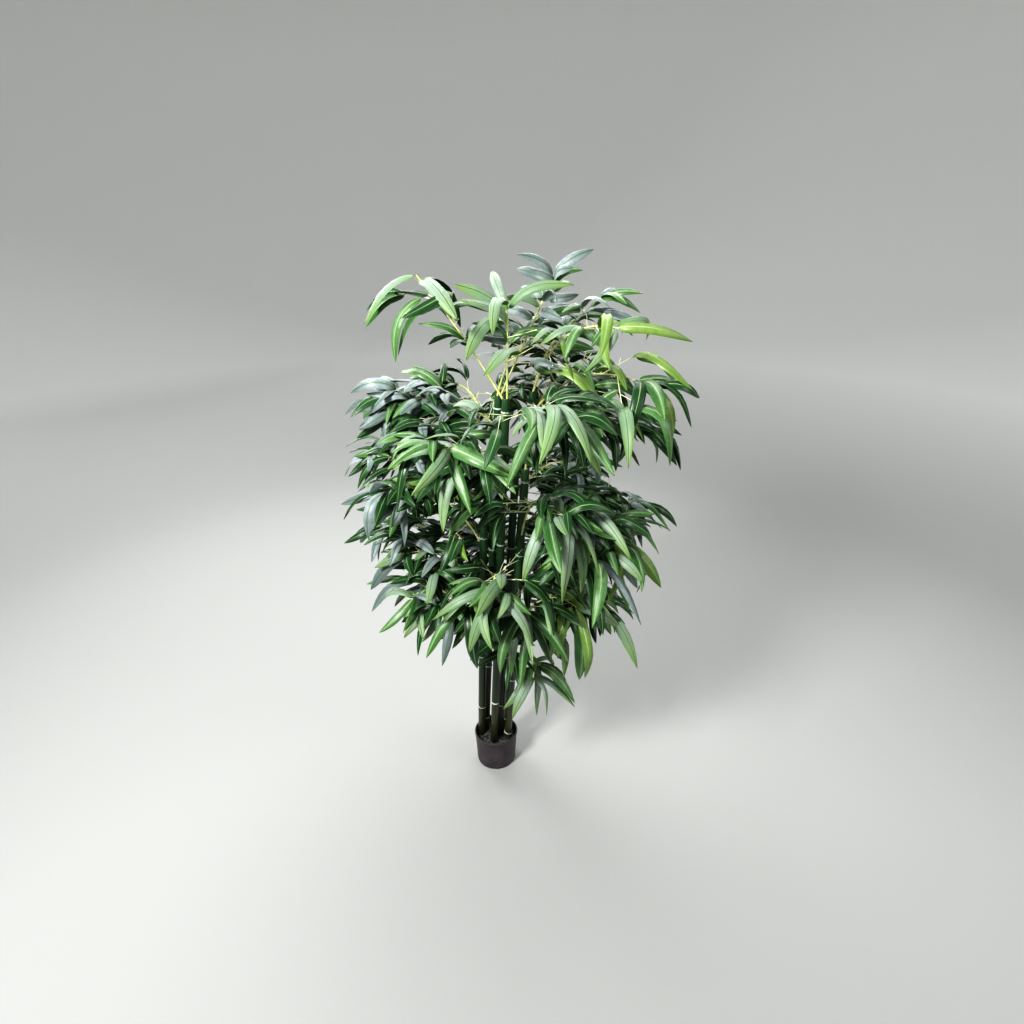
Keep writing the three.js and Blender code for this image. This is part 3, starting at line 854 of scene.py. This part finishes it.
def halfWidth(share):  # opens fast behind the stalk, runs nearly even, and draws in to a long point
    if share <= blade["stalk"]:
        return blade["stalkHalf"]
    part = (share - blade["stalk"]) / (1 - blade["stalk"])
    opening = math.sin(math.pi / 2 * min(part / blade["rootSpan"], 1)) ** blade["rootPower"]
    closing = math.cos(math.pi / 2 * max(0, (part - blade["tipFrom"]) / (1 - blade["tipFrom"])))
    return max(blade["width"] / 2 * opening * closing ** blade["tipPower"], blade["leastHalf"])


def tubeTemplate(name, rings, sharpPlaces):  # rings of (along, across, lift, skin), closed at both ends
    count = len(rings[0])
    last = (len(rings) - 1) * count
    faces = [tuple(reversed(range(count)))]
    for near in range(0, last, count):
        faces += bandFaces(near, near + count, count)
    faces.append(tuple(range(last, last + count)))
    corners = [corner for ring in rings for corner in ring]
    mesh = meshOf(name, [(0, 0, 0)] * len(corners), faces)
    for index, label in enumerate(("along", "across", "lift", "skin")):
        setAttribute(mesh, label, [corner[index] for corner in corners])
    setAttribute(mesh, "wide", [corner[1] / halfWidth(corner[0]) for corner in corners])
    sharp = mesh.attributes.new("sharp_edge", "BOOLEAN", "EDGE")
    for edge in mesh.edges:
        places = [index % count for index in edge.vertices]
        sharp.data[edge.index].value = places[0] == places[1] and places[0] in sharpPlaces
    return addPiece(name, mesh)


def bladeTemplate():
    lobePlace, skin = blade["lobePlace"], blade["thick"] * mm
    across = (1, lobePlace, 0, -lobePlace, -1, -lobePlace, 0, lobePlace)
    skins = (0, skin, skin, skin, 0, -skin, -skin, -skin)
    rings = []
    for share in blade["stations"]:
        half = halfWidth(share)
        grown = half / (blade["width"] / 2)
        lobe, edge = blade["lobe"] * grown, blade["edge"] * grown
        lifts = (edge, lobe, 0, lobe) * 2
        rings.append([(share, half * part, lift, side) for part, lift, side in zip(across, lifts, skins)])
    return tubeTemplate("bladeShape", rings, (0, 4))


def ribTemplate():  # a band laid in the groove, keeled underneath
    rings = []
    for share in blade["stations"]:
        wing = halfWidth(share)
        half = min(rib["half"][0] + (rib["half"][1] - rib["half"][0]) * share, wing * rib["most"])
        groove = blade["lobe"] * wing / (blade["width"] / 2) * half / (wing * blade["lobePlace"])
        skin = (blade["thick"] + rib["proud"]) * mm
        rings.append([(share, half, groove, skin), (share, 0, rib["rise"], skin),
                      (share, -half, groove, skin), (share, 0, -rib["rise"], -skin)])
    return tubeTemplate("ribShape", rings, ())


def leafTree():
    tree, given = newTree("bentLeaves", (
        ("Shape", "Object"), ("Wave", "Float"), ("WaveScale", "Float"), ("Finish", "Material")))
    shape = addNode(tree, "GeometryNodeObjectInfo", {"Object": given["Shape"]}).outputs["Geometry"]
    spread = addNode(tree, "GeometryNodeInstanceOnPoints", {"Points": given["Geometry"], "Instance": shape})
    solid = addNode(tree, "GeometryNodeRealizeInstances", {"Geometry": spread.outputs[0]}).outputs[0]
    share, across, lift, skin, length, arch, twist, girth, sway = (named(tree, label) for label in (
        "along", "across", "lift", "skin", "length", "arch", "twist", "girth", "sway"))
    direction, face = (named(tree, label, "FLOAT_VECTOR") for label in ("direction", "face"))
    cross = addNode(tree, "ShaderNodeVectorMath", {0: face, 1: direction}, operation="CROSS_PRODUCT")
    side = cross.outputs[0]
    forth = scaled(tree, direction, times(tree, share, length))
    width = times(tree, across, length, girth)
    place = addNode(tree, "GeometryNodeInputPosition").outputs[0]
    place = summed(tree, place, forth, scaled(tree, side, width))
    noise = addNode(tree, "ShaderNodeTexNoise", {"Vector": place, "Scale": given["WaveScale"]}).outputs["Fac"]
    wave = calc(tree, "SUBTRACT", noise, 0.5)
    ripple = times(tree, wave, given["Wave"], calc(tree, "ABSOLUTE", across))
    hump = times(tree, share, calc(tree, "SUBTRACT", 1.0, share))
    hump = calc(tree, "DIVIDE", hump, blade["humpTop"])
    full, drop = blade["early"]
    early = times(tree, hump, calc(tree, "SUBTRACT", full, times(tree, share, drop)))
    angle = times(tree, twist, share)
    rise = times(tree, plus(tree, times(tree, early, arch), lift), length)
    rise = plus(tree, rise, skin, times(tree, width, calc(tree, "SINE", angle)), ripple)
    aside = times(tree, hump, sway, length)
    aside = plus(tree, aside, times(tree, width, calc(tree, "COSINE", angle)))
    offset = summed(tree, forth, scaled(tree, face, rise), scaled(tree, side, aside))
    bent = addNode(tree, "GeometryNodeSetPosition", {"Geometry": solid, "Offset": offset})
    endTree(tree, bent.outputs[0], given["Finish"])
    return tree


def rootsMesh(name, chosen):
    mesh = meshOf(name, np.array([leaf["root"] for leaf in chosen]) * mm)
    setAttribute(mesh, "length", np.array([leaf["length"] for leaf in chosen]) * mm)
    for label in ("arch", "twist", "girth", "sway", "tint"):
        setAttribute(mesh, label, [leaf[label] for leaf in chosen])
    for label in ("direction", "face"):
        setAttribute(mesh, label, [leaf[label] for leaf in chosen], "FLOAT_VECTOR")
    return addPiece(name, mesh)


def makeLeafFinish(look):
    material, tree, shader = newFinish(look["name"], look)
    wide = measure(tree, "wide")
    out = calc(tree, "ABSOLUTE", wide)
    veins = calc(tree, "SINE", times(tree, wide, leafSkin["veins"]))
    paint(tree, shader, look["shade"], (
        ("tint", (0, 1), look["light"]),
        ("along", leafSkin["tip"], look["tip"]),
        ("along", leafSkin["root"], look["root"]),
        # pale stripe and rim: partly print, partly painted highlight
        (out, leafSkin["stripe"], look["stripe"], look["stripeShare"]),
        (out, leafSkin["rim"], look["rim"], look["rimShare"]),
        (veins, leafSkin["vein"], look["light"], leafSkin["veinShare"]),
        (leafSkin["mottle"], leafSkin["mottled"], look["shade"], leafSkin["mottleShare"])))
    height = plus(tree, times(tree, veins, leafSkin["veinHeight"]), speckle(tree, *leafSkin["grain"]))
    roughen(tree, shader, height, *leafSkin["relief"])
    return material


leafSkin = {    # spans along the blade, out from the midrib, and over the veins and the speckles; the pale stripe by the midrib and the pale rim are partly the leaves' print and partly painted highlight
    "tip": (0.48, 0.95), "root": (0.2, 0.05), "stripe": (0.5, 0.1), "rim": (0.8, 1.0),
    "veins": 36.0, "vein": (0.2, 1.0), "veinShare": 0.32, "veinHeight": 0.4,
    "mottle": (90,), "mottled": (0.42, 0.7), "mottleShare": 0.35,
    "grain": (380, 2), "relief": (0.4, 0.0004),
}
leafLooks = {
    # near-black green: the leaves' own dark green, and painted shade for the leaves dealt dark deep in the
    # crown
    "d": {
        "name": "leavesDark", "slot": "leaf_dark", "roughness": 0.32, "gloss": 0.4, "sheen": 0.02,
        "color": (0.012, 0.05, 0.012), "shade": (0.006, 0.028, 0.006), "light": (0.03, 0.1, 0.03),
        "tip": (0.012, 0.052, 0.008), "root": (0.022, 0.085, 0.014),
        "stripe": (0.06, 0.13, 0.06), "stripeShare": 0.3, "rim": (0.13, 0.2, 0.12), "rimShare": 0.6,
    },
    "m": {
        "name": "leavesMid", "slot": "leaf_mid", "roughness": 0.37, "gloss": 0.5, "sheen": 0.08,
        "color": (0.06, 0.175, 0.046), "shade": (0.022, 0.09, 0.018), "light": (0.125, 0.25, 0.09),
        "tip": (0.055, 0.15, 0.014), "root": (0.06, 0.17, 0.024),
        "stripe": (0.28, 0.41, 0.28), "stripeShare": 0.5, "rim": (0.12, 0.22, 0.09), "rimShare": 0.5,
    },
    # pale mint blade: painted sheen over the green, which stays at the tip and root
    "b": {
        "name": "leavesBright", "slot": "leaf_bright", "roughness": 0.46, "gloss": 0.4, "sheen": 0.06,
        "color": (0.228, 0.31, 0.235), "shade": (0.145, 0.24, 0.125), "light": (0.295, 0.355, 0.318),
        "tip": (0.16, 0.26, 0.05), "root": (0.11, 0.25, 0.04),
        "stripe": (0.38, 0.46, 0.38), "stripeShare": 0.25, "rim": (0.1, 0.25, 0.05), "rimShare": 0.5,
    },
    # grey-blue blade: painted sheen, the pale light reflected off up-facing green leaves
    "s": {
        "name": "leavesSilver", "slot": "leaf_silver", "roughness": 0.42, "gloss": 0.5, "sheen": 0.2,
        "color": (0.23, 0.28, 0.28), "shade": (0.1, 0.135, 0.13), "light": (0.35, 0.41, 0.42),
        "tip": (0.12, 0.165, 0.15), "root": (0.13, 0.19, 0.15),
        "stripe": (0.06, 0.09, 0.08), "stripeShare": 0.4, "rim": (0.3, 0.36, 0.34), "rimShare": 0.4,
    },
    "y": {
        "name": "leavesYellow", "slot": "leaf_bright", "roughness": 0.4, "gloss": 0.5, "sheen": 0.08,
        "color": (0.17, 0.29, 0.045), "shade": (0.09, 0.2, 0.02), "light": (0.25, 0.36, 0.09),
        "tip": (0.1, 0.2, 0.015), "root": (0.2, 0.31, 0.07),
        "stripe": (0.34, 0.44, 0.24), "stripeShare": 0.4, "rim": (0.13, 0.25, 0.03), "rimShare": 0.3,
    },
}


# painted shade inside the crown: its middle, the distances where it is full and where it ends, its most
# share, the heights above which it ends and below which it is full, and the foot below which it stops
nearCanes = {"middle": (35, 15), "near": 110, "far": 275, "most": 0.88, "open": 1480, "closed": 1300,
             "foot": 540}
paintedShadeByRank = {    # painted shade: the share of dark ones by rank, in the sprays with long leaves and in the others
    "longLeaf": 183,
    "long": {"crown": 0, "fan": 0.12, "pair": 0.5, "fine": 0.6},
    "short": {"crown": 0, "fan": 0.0, "pair": 0.15, "fine": 0.2},
    "bright": ("top_left", "top_front", "top_high", "top_right", "top_far", "upper_side", "upper_left",
               "foot_right"),
}


def shadeShare(root):  # painted shade: the nearer to the canes, the more of the leaves are dark ones
    near, far, high, low = (nearCanes[label] for label in ("near", "far", "open", "closed"))
    away = math.dist(root[:2], nearCanes["middle"]) if root[2] > nearCanes["foot"] else far
    depth = min(max((far - away) / (far - near), 0), 1)
    return nearCanes["most"] * depth * min(max((high - root[2]) / (high - low), 0), 1)


facing = {  # leaves in the front half show their faces forward, and some sprays lift them too
    "behind": 70,
    "usual": 0.35,
    "most": {"top_high": 1.6, "top_right": 0.7, "upper_left": 0.7, "top_front": 0.6, "top_far": 0.8},
    "lift": {"top_high": 0.18, "upper_left": 0.1},
}


def turnForward(leaf, name):
    share = facing["most"].get(name, facing["usual"] if leaf["root"][1] < facing["behind"] else 0)
    leaf["direction"] = unit(leaf["direction"] + up * facing["lift"].get(name, 0))
    face = leaf["face"] - np.array((0, share, 0))
    leaf["face"] = unit(face - leaf["direction"] * (face @ leaf["direction"]))


def dealTints():  # each leaf takes one of its spray's tints, with its own lightness and twist
    for index, leaf in enumerate(leaves):
        draw = makeRandom(index, streams["tint"])
        row = rows[leaf["number"]]
        tints = row["tints"]
        leaf["kind"] = tints[min(int(draw(0, len(tints))), len(tints) - 1)]
        # painted shade: a leaf turns dark near the canes and in the dim ranks
        rankShare = paintedShadeByRank["long" if row["leaf"] > paintedShadeByRank["longLeaf"] else "short"][leaf["rank"]]
        if row["name"] in paintedShadeByRank["bright"]:
            rankShare = 0
        if draw(0, 1) > (1 - shadeShare(leaf["root"])) * (1 - rankShare):
            leaf["kind"] = "d"
        leaf["kind"] = leaf.get("given", leaf["kind"])
        turnForward(leaf, row["name"])
        leaf["tint"] = draw(0, 1)
        leaf["twist"] = draw(*blade["twist"])
        leaf["sway"] = draw(*blade["sway"])
        slimness = (blade["usualLength"] / leaf["length"]) ** blade["slimming"]
        leaf["girth"] = draw(*blade["girth"]) * slimness
        leaf["arch"] *= blade["archShare"] * blade["limp"].get(row["name"], 1)


def makeRibFinish(name, pale, color):
    return makeFinish(name, {
        "color": pale, "roughness": 0.5, "gloss": 0.4, "layers": (("along", (0.25, 0.9), color),),
        "grain": ((300, 2), 0.2, 0.0004)})


ribLooks = {    # colour near the root, colour near the tip, and the kinds of leaves that have it
    "ribsPale": ((0.5, 0.6, 0.3), (0.24, 0.4, 0.16), "my"),
    "ribsDim": ((0.36, 0.48, 0.25), (0.12, 0.23, 0.09), "d"),
    "ribsDeep": ((0.14, 0.26, 0.07), (0.03, 0.09, 0.02), "bs"),
}


def makeLeaves():
    dealTints()
    tree, bladeShape, ribShape = leafTree(), bladeTemplate(), ribTemplate()

    def spreadLeaves(name, chosen, shape, wave, finish):
        return runTree(name, rootsMesh(name + "Roots", chosen), tree, {
            "Shape": shape, "Wave": wave, "WaveScale": blade["waveScale"], "Finish": finish})

    for kind, look in leafLooks.items():
        chosen = [leaf for leaf in leaves if leaf["kind"] == kind]
        wave = blade["wave"] * mm / (blade["width"] / 2) * 2
        piece = spreadLeaves(look["name"], chosen, bladeShape, wave, makeLeafFinish(look))
        numbers = sorted({leaf["number"] for leaf in chosen})
        putOn(piece, look["slot"], *["leaves_" + rows[number]["name"] for number in numbers])
    for name, (pale, color, kinds) in ribLooks.items():
        chosen = [leaf for leaf in leaves if leaf["kind"] in kinds]
        piece = spreadLeaves(name, chosen, ribShape, 0.0, makeRibFinish(name, pale, color))
        putOn(piece, "leaf_bright")
    bpy.data.objects.remove(bladeShape)
    bpy.data.objects.remove(ribShape)


makeLeaves()
print("leaves made,", {kind: sum(leaf["kind"] == kind for leaf in leaves) for kind in leafLooks})

# Turned pieces: the pot, its fill and the canes

def turnedMesh(name, outline, sides, axis=lambda height: (0, 0)):
    points, faces, starts = [], [], []
    for radius, height in outline:
        lean = axis(height)
        starts.append(len(points))
        for i in range(1 if radius == 0 else sides):
            angle = 2 * math.pi * i / sides
            points.append(((radius * math.cos(angle) + lean[0]) * mm,
                           (radius * math.sin(angle) + lean[1]) * mm, height * mm))
    for place in range(len(outline) - 1):
        for near, nearAfter, farAfter, far in bandFaces(starts[place], starts[place + 1], sides):
            if outline[place][0] == 0:
                faces.append((starts[place], farAfter, far))
            elif outline[place + 1][0] == 0:
                faces.append((near, nearAfter, starts[place + 1]))
            else:
                faces.append((near, nearAfter, farAfter, far))
    return meshOf(name, points, faces)


def roundCorner(center, radius, start, end, steps):
    angles = [math.radians(start + (end - start) * i / steps) for i in range(steps + 1)]
    return [(center[0] + radius * math.cos(angle), center[1] + radius * math.sin(angle)) for angle in angles]


pot = {
    "footRadius": 71,
    "rimRadius": 80,
    "height": 130,
    "wall": 2.4,
    "lip": 2.2,
    "lipHeight": 8,
    "ring": (60, 63, 68),   # radii of the hollow underside, its edge and the ring it stands on
    "rounds": (3, 1.2, 1.6, 1.2),   # at the foot, under the lip, outside and inside the rim
    "hollow": 1.5,
    "inside": (108, 20),    # the straight wall's top, and the floor
    "ribs": 9,
    "firstRib": 14,
    "lastRib": 10,          # below the lip
    "ribShape": ((-2.2, 0), (-0.9, 1), (0.9, 1), (2.2, 0)),
    "ribRise": 0.45,
    "sides": 96,
}
potPlastic = {
    "color": (0.04, 0.032, 0.035), "roughness": 0.5, "gloss": 0.45,
    "layers": (((22, 6), (0.4, 0.75), (0.075, 0.06, 0.066)),
               ((60, 4, (1, 1, 0.15)), (0.55, 0.75), (0.11, 0.092, 0.095), 0.5)),
    "grain": ((700, 2), 0.18, 0.0004),
}


def potOuter(height):
    return pot["footRadius"] + (pot["rimRadius"] - pot["lip"] - pot["footRadius"]) * height / pot["height"]


def makePot():
    lipFoot, rim, top = pot["height"] - pot["lipHeight"], pot["rimRadius"], pot["height"]
    hollow, edge, ring = pot["ring"]
    outline = [(0, pot["hollow"]), (hollow, pot["hollow"]), (edge, 0), (ring, 0)]
    foot, under, outer, inner = pot["rounds"]
    outline += roundCorner((ring, foot), foot, -90, 0, 4)[1:]
    for i in range(pot["ribs"]):
        middle = pot["firstRib"] + (lipFoot - pot["firstRib"] - pot["lastRib"]) * i / (pot["ribs"] - 1)
        for step, rise in pot["ribShape"]:
            outline.append((potOuter(middle + step) + rise * pot["ribRise"], middle + step))
    outline += [(potOuter(lipFoot) + 0.1, lipFoot - 0.6), (rim - 1, lipFoot)]
    outline += roundCorner((rim - under, lipFoot + 1.4), under, -60, 0, 3)
    outline += roundCorner((rim - outer, top - outer), outer, 0, 90, 4)
    mouth = potOuter(top) - pot["wall"]
    outline += roundCorner((mouth + inner, top - inner), inner, 90, 180, 3)
    outline += [(potOuter(height) - pot["wall"], height) for height in pot["inside"]]
    outline += [(0, pot["inside"][-1])]
    mesh = turnedMesh("pot", outline, pot["sides"])
    mesh.materials.append(makeFinish("nurseryPot", potPlastic))
    putOn(addPiece("nurseryPot", mesh), "pot", "pot")


fill = {
    "top": 105, "side": 73.8, "foot": 40, "footInset": 4, "sides": 48,
    "waves": (0.9, 0.78, 0.64, 0.48, 0.3, 0.14), "waveTurns": 23, "waveRise": 0.9, "step": 0.5, "middle": 0.2,
    "bedInset": 2.5, "bedRise": 0.6, "bedSides": 40,
}
stones = {      # lengths in metres, turns in radians
    "count": 900, "seed": 12, "radius": 0.0042, "least": (0.45, 0.45, 0.35), "most": (1.1, 1.0, 0.75),
    "turn": (6.28, 6.28, 6.28), "wear": 0.0016, "wearScale": 260.0,
}
fillFinish = {
    "color": (0.016, 0.018, 0.015), "roughness": 0.9,
    "layers": (((140, 5), (0.4, 0.65), (0.055, 0.058, 0.05)),), "grain": ((420, 4), 0.6, 0.0015),
}
stoneFinish = {
    "color": (0.024, 0.028, 0.024), "roughness": 0.7,
    "layers": (((90, 3), (0.35, 0.7), (0.12, 0.125, 0.11)),), "grain": ((900, 3), 0.4, 0.0006),
}


def stoneTree():
    tree, given = newTree("gravel", (
        ("Stone", "Float"), ("Amount", "Float"), ("Seed", "Int"), ("Finish", "Material")))
    ball = addNode(tree, "GeometryNodeMeshIcoSphere", {"Radius": given["Stone"], "Subdivisions": 2})
    spread = addNode(tree, "GeometryNodeDistributePointsOnFaces", {
        "Mesh": given["Geometry"], "Density": given["Amount"], "Seed": given["Seed"]})
    turn = addNode(tree, "FunctionNodeRandomValue", {
        1: stones["turn"], "Seed": given["Seed"]}, data_type="FLOAT_VECTOR")
    size = addNode(tree, "FunctionNodeRandomValue", {
        0: stones["least"], 1: stones["most"]}, data_type="FLOAT_VECTOR")
    heap = addNode(tree, "GeometryNodeInstanceOnPoints", {
        "Points": spread.outputs["Points"], "Instance": ball.outputs["Mesh"],
        "Rotation": turn.outputs[0], "Scale": size.outputs[0]})
    solid = addNode(tree, "GeometryNodeRealizeInstances", {"Geometry": heap.outputs[0]}).outputs[0]
    noise = addNode(tree, "ShaderNodeTexNoise", {"Scale": stones["wearScale"]}).outputs["Color"]
    push = scaled(tree, summed(tree, noise, (-0.5, -0.5, -0.5)), stones["wear"])
    worn = addNode(tree, "GeometryNodeSetPosition", {"Geometry": solid, "Offset": push})
    endTree(tree, worn.outputs[0], given["Finish"])
    return tree


def makeFill():
    top, side = fill["top"], fill["side"]
    outline = [(0, fill["foot"]), (side - fill["footInset"], fill["foot"]), (side, top - fill["step"])]
    for share in fill["waves"]:
        wave = fill["waveRise"] * math.sin(share * fill["waveTurns"])
        outline.append((side * share, top - fill["step"] + wave))
    outline += [(0, top - fill["middle"])]
    mesh = turnedMesh("fill", outline, fill["sides"])
    mesh.materials.append(makeFinish("setFill", fillFinish))
    putOn(addPiece("setFill", mesh), "fill", "fill")
    bed = [(radius, top + fill["bedRise"]) for radius in (side - fill["bedInset"], side * 0.5, 0)]
    disc = turnedMesh("stoneBed", bed, fill["bedSides"])
    piece = runTree("gravel", addPiece("stoneBed", disc), stoneTree(), {
        "Stone": stones["radius"], "Amount": stones["count"] / (math.pi * (side * mm) ** 2),
        "Seed": stones["seed"], "Finish": makeFinish("gravel", stoneFinish)})
    putOn(piece, "fill")


def ringHeights(host):
    _, _, first, last, lengths = canes[host]
    return [first + (last - first) * i / lengths for i in range(lengths + 1)]


def caneOutline(host):
    outline = [(0, cane["foot"]), (caneRadius(cane["foot"]), cane["foot"])]
    half, rise = cane["ringHalf"], cane["ringRise"]
    heights = ringHeights(host)
    for height in heights:
        last = height == heights[-1]
        radius = caneRadius(height)
        above = radius - (cane["stubStep"] if last else 0)
        outline += [(radius - 0.35, height - 60), (radius - 0.1, height - 14)]
        outline += [(radius + 0.25, height - half - 1), (radius + rise * 0.75, height - half * 0.45)]
        outline += [(radius + rise, height - 0.6), (radius + rise * 0.9, height + 0.9)]
        outline += [(radius + 0.35, height + half * 0.5), (above - 0.25, height + half * 0.85)]
        outline += [(above, height + half + 2)]
        if not last:
            outline += [(radius - 0.35, height + 60)]
    top, socket = caneTop(host), cane["socketRadius"]
    edge = caneRadius(top) - cane["stubStep"]
    outline += [(edge, top - 1.2), (edge - 0.5, top - 0.2), (edge - 1, top)]
    outline += [(socket + 0.4, top), (socket, top - 0.5)]
    outline += [(socket, top - cane["socketDepth"]), (0, top - cane["socketDepth"])]
    return outline


caneFinish = {      # streaked, darker towards the foot as painted shade under the leaves, and olive-brown at the very foot
    "color": (0.02, 0.066, 0.023), "roughness": 0.34, "coat": 0.15,
    "layers": (((190, 4, (1, 1, 0.035)), (0.38, 0.66), (0.045, 0.125, 0.042), 0.55),
               # painted shade: darker below 0.95 m, under the leaves
               ("height", (0.95, 0.4), (0.015, 0.028, 0.011)),
               ("height", (0.34, 0.16), (0.04, 0.044, 0.018))),
    "grain": ((260, 4, (1, 1, 0.05)), 0.22, 0.0005),
}

# Rings: the pale bands printed round each joint, one collar set on every joint
rings = {"low": -2.6, "high": 3.2, "proud": 0.22, "sunk": 0.8, "sides": 48, "tiltSpan": 100}
bandFinish = {
    "color": (0.5, 0.55, 0.52), "roughness": 0.4,
    "layers": (((130, 4), (0.52, 0.7), (0.14, 0.2, 0.16)),),
}


def ringTree():
    tree, given = newTree("jointBands", (("Shape", "Object"), ("Finish", "Material")))
    shape = addNode(tree, "GeometryNodeObjectInfo", {"Object": given["Shape"]}).outputs["Geometry"]
    across = named(tree, "size")
    size = addNode(tree, "ShaderNodeCombineXYZ", {"X": across, "Y": across, "Z": 1.0}).outputs[0]
    turn = addNode(tree, "FunctionNodeAlignRotationToVector", {
        "Vector": named(tree, "axis", "FLOAT_VECTOR")}, axis="Z").outputs[0]
    spread = addNode(tree, "GeometryNodeInstanceOnPoints", {
        "Points": given["Geometry"], "Instance": shape, "Scale": size, "Rotation": turn})
    endTree(tree, spread.outputs[0], given["Finish"])
    return tree


def bandOutline(radius):  # hugs the joint's own profile, a little proud of it
    rise, half, low, high = cane["ringRise"], cane["ringHalf"], rings["low"], rings["high"]
    swollen = [(radius + rise * 0.86, -1.6), (radius + rise, -0.6), (radius + rise * 0.9, 0.9),
               (radius + 0.5, half * 0.5)]
    foot = (radius + rise * 0.62, low)
    outline = [foot] + [(far + rings["proud"], height) for far, height in swollen]
    inside = radius - rings["sunk"]
    return outline + [(radius + 0.1 - 0.3, high), (inside, high), (inside, low), foot]


def makeCanes():
    finish = makeFinish("caneGreen", caneFinish)
    tilts, places, sizes = [], [], []
    for host in canes:
        outline = caneOutline(host)
        mesh = turnedMesh("cane", outline, cane["sides"], lambda height, host=host: caneAxis(host, height))
        mesh.materials.append(finish)
        putOn(addPiece("cane." + host, mesh), "cane", "cane_" + host)
        for height in ringHeights(host):
            places.append(caneAxis(host, height))
            tilts.append(unit(caneAxis(host, height + rings["tiltSpan"]) - caneAxis(host, height)))
            sizes.append(caneRadius(height) / cane["radius"])
    band = addPiece("bandShape", turnedMesh("band", bandOutline(cane["radius"]), rings["sides"]))
    mesh = meshOf("joints", np.array(places) * mm)
    setAttribute(mesh, "axis", tilts, "FLOAT_VECTOR")
    setAttribute(mesh, "size", sizes)
    piece = runTree("jointBands", addPiece("joints", mesh), ringTree(), {
        "Shape": band, "Finish": makeFinish("jointBand", bandFinish)})
    putOn(piece, "cane")
    bpy.data.objects.remove(band)


makePot()
makeFill()
makeCanes()
print("pot, fill and canes made")

# Stage: a pale sweep of floor and wall, soft lights, and the camera
sweepShape = {"floor": 2, "bend": ((3.0, 3.4), 3.4, -90, 0, 24), "top": (6.45, 8), "sides": 64}   # metres
sweepFinish = {
    "color": (0.36, 0.365, 0.355), "roughness": 0.85,
    "layers": (("height", (0.0, 0.6), (0.68, 0.685, 0.67)),),
}


def makeStage():  # a floor that turns up into a wall all the way round
    outline = [(0, 0), (sweepShape["floor"], 0)] + roundCorner(*sweepShape["bend"]) + [sweepShape["top"]]
    outline = [(radius / mm, height / mm) for radius, height in outline]
    mesh = turnedMesh("backdrop", outline, sweepShape["sides"])
    mesh.flip_normals()
    mesh.materials.append(makeFinish("paleSweep", sweepFinish))
    addPiece("backdrop", mesh)


lights = {      # place, what it points at, width, power
    "keyLight": ((-1.7, -2.2, 3.3), (0, 0, 1.1), 0.8, 165),
    "fillLight": ((2.8, -1.2, 2.4), (0, 0, 0.9), 1.6, 26),
    "rearLight": ((-2.2, 2.4, 2.8), (0, 0, 0.9), 1.6, 62),
    "topLight": ((0.3, 1.9, 3.3), (0, 0, 1.1), 2.4, 75),
}
sky = {"Color": (0.9, 0.93, 0.95, 1), "Strength": 0.24}


def addLight(name, place, aim, size, power):
    light = bpy.data.lights.new(name, "AREA")
    light.shape = "SQUARE"
    light.size = size
    light.energy = power
    lamp = bpy.data.objects.new(name, light)
    lamp.location = place
    direction = np.array(aim) - np.array(place)
    tilt = math.acos(-direction[2] / np.linalg.norm(direction))
    lamp.rotation_euler = (tilt, 0, math.atan2(direction[1], direction[0]) - math.pi / 2)
    lamp.visible_camera = False
    bpy.context.scene.collection.objects.link(lamp)


def makeLights():
    for name, settings in lights.items():
        addLight(name, *settings)
    world = bpy.data.worlds.new("studio")
    bpy.context.scene.world = world
    world.use_nodes = True
    for socket, value in sky.items():
        world.node_tree.nodes["Background"].inputs[socket].default_value = value


view = {"place": (0.060, -1.807, 1.880), "pitch": 25, "focalPixels": 628, "framePixels": 1024, "sensor": 36}


def makeCamera():
    camera = bpy.data.cameras.new("camera")
    camera.sensor_width = view["sensor"]
    camera.lens = view["sensor"] * view["focalPixels"] / view["framePixels"]
    holder = bpy.data.objects.new("camera", camera)
    holder.location = view["place"]
    holder.rotation_euler = (math.radians(90 - view["pitch"]), 0, 0)
    bpy.context.scene.collection.objects.link(holder)
    bpy.context.scene.camera = holder


makeStage()
makeLights()
makeCamera()
bpy.context.scene.view_settings.view_transform = "Standard"
bpy.context.scene.view_settings.look = "High Contrast"
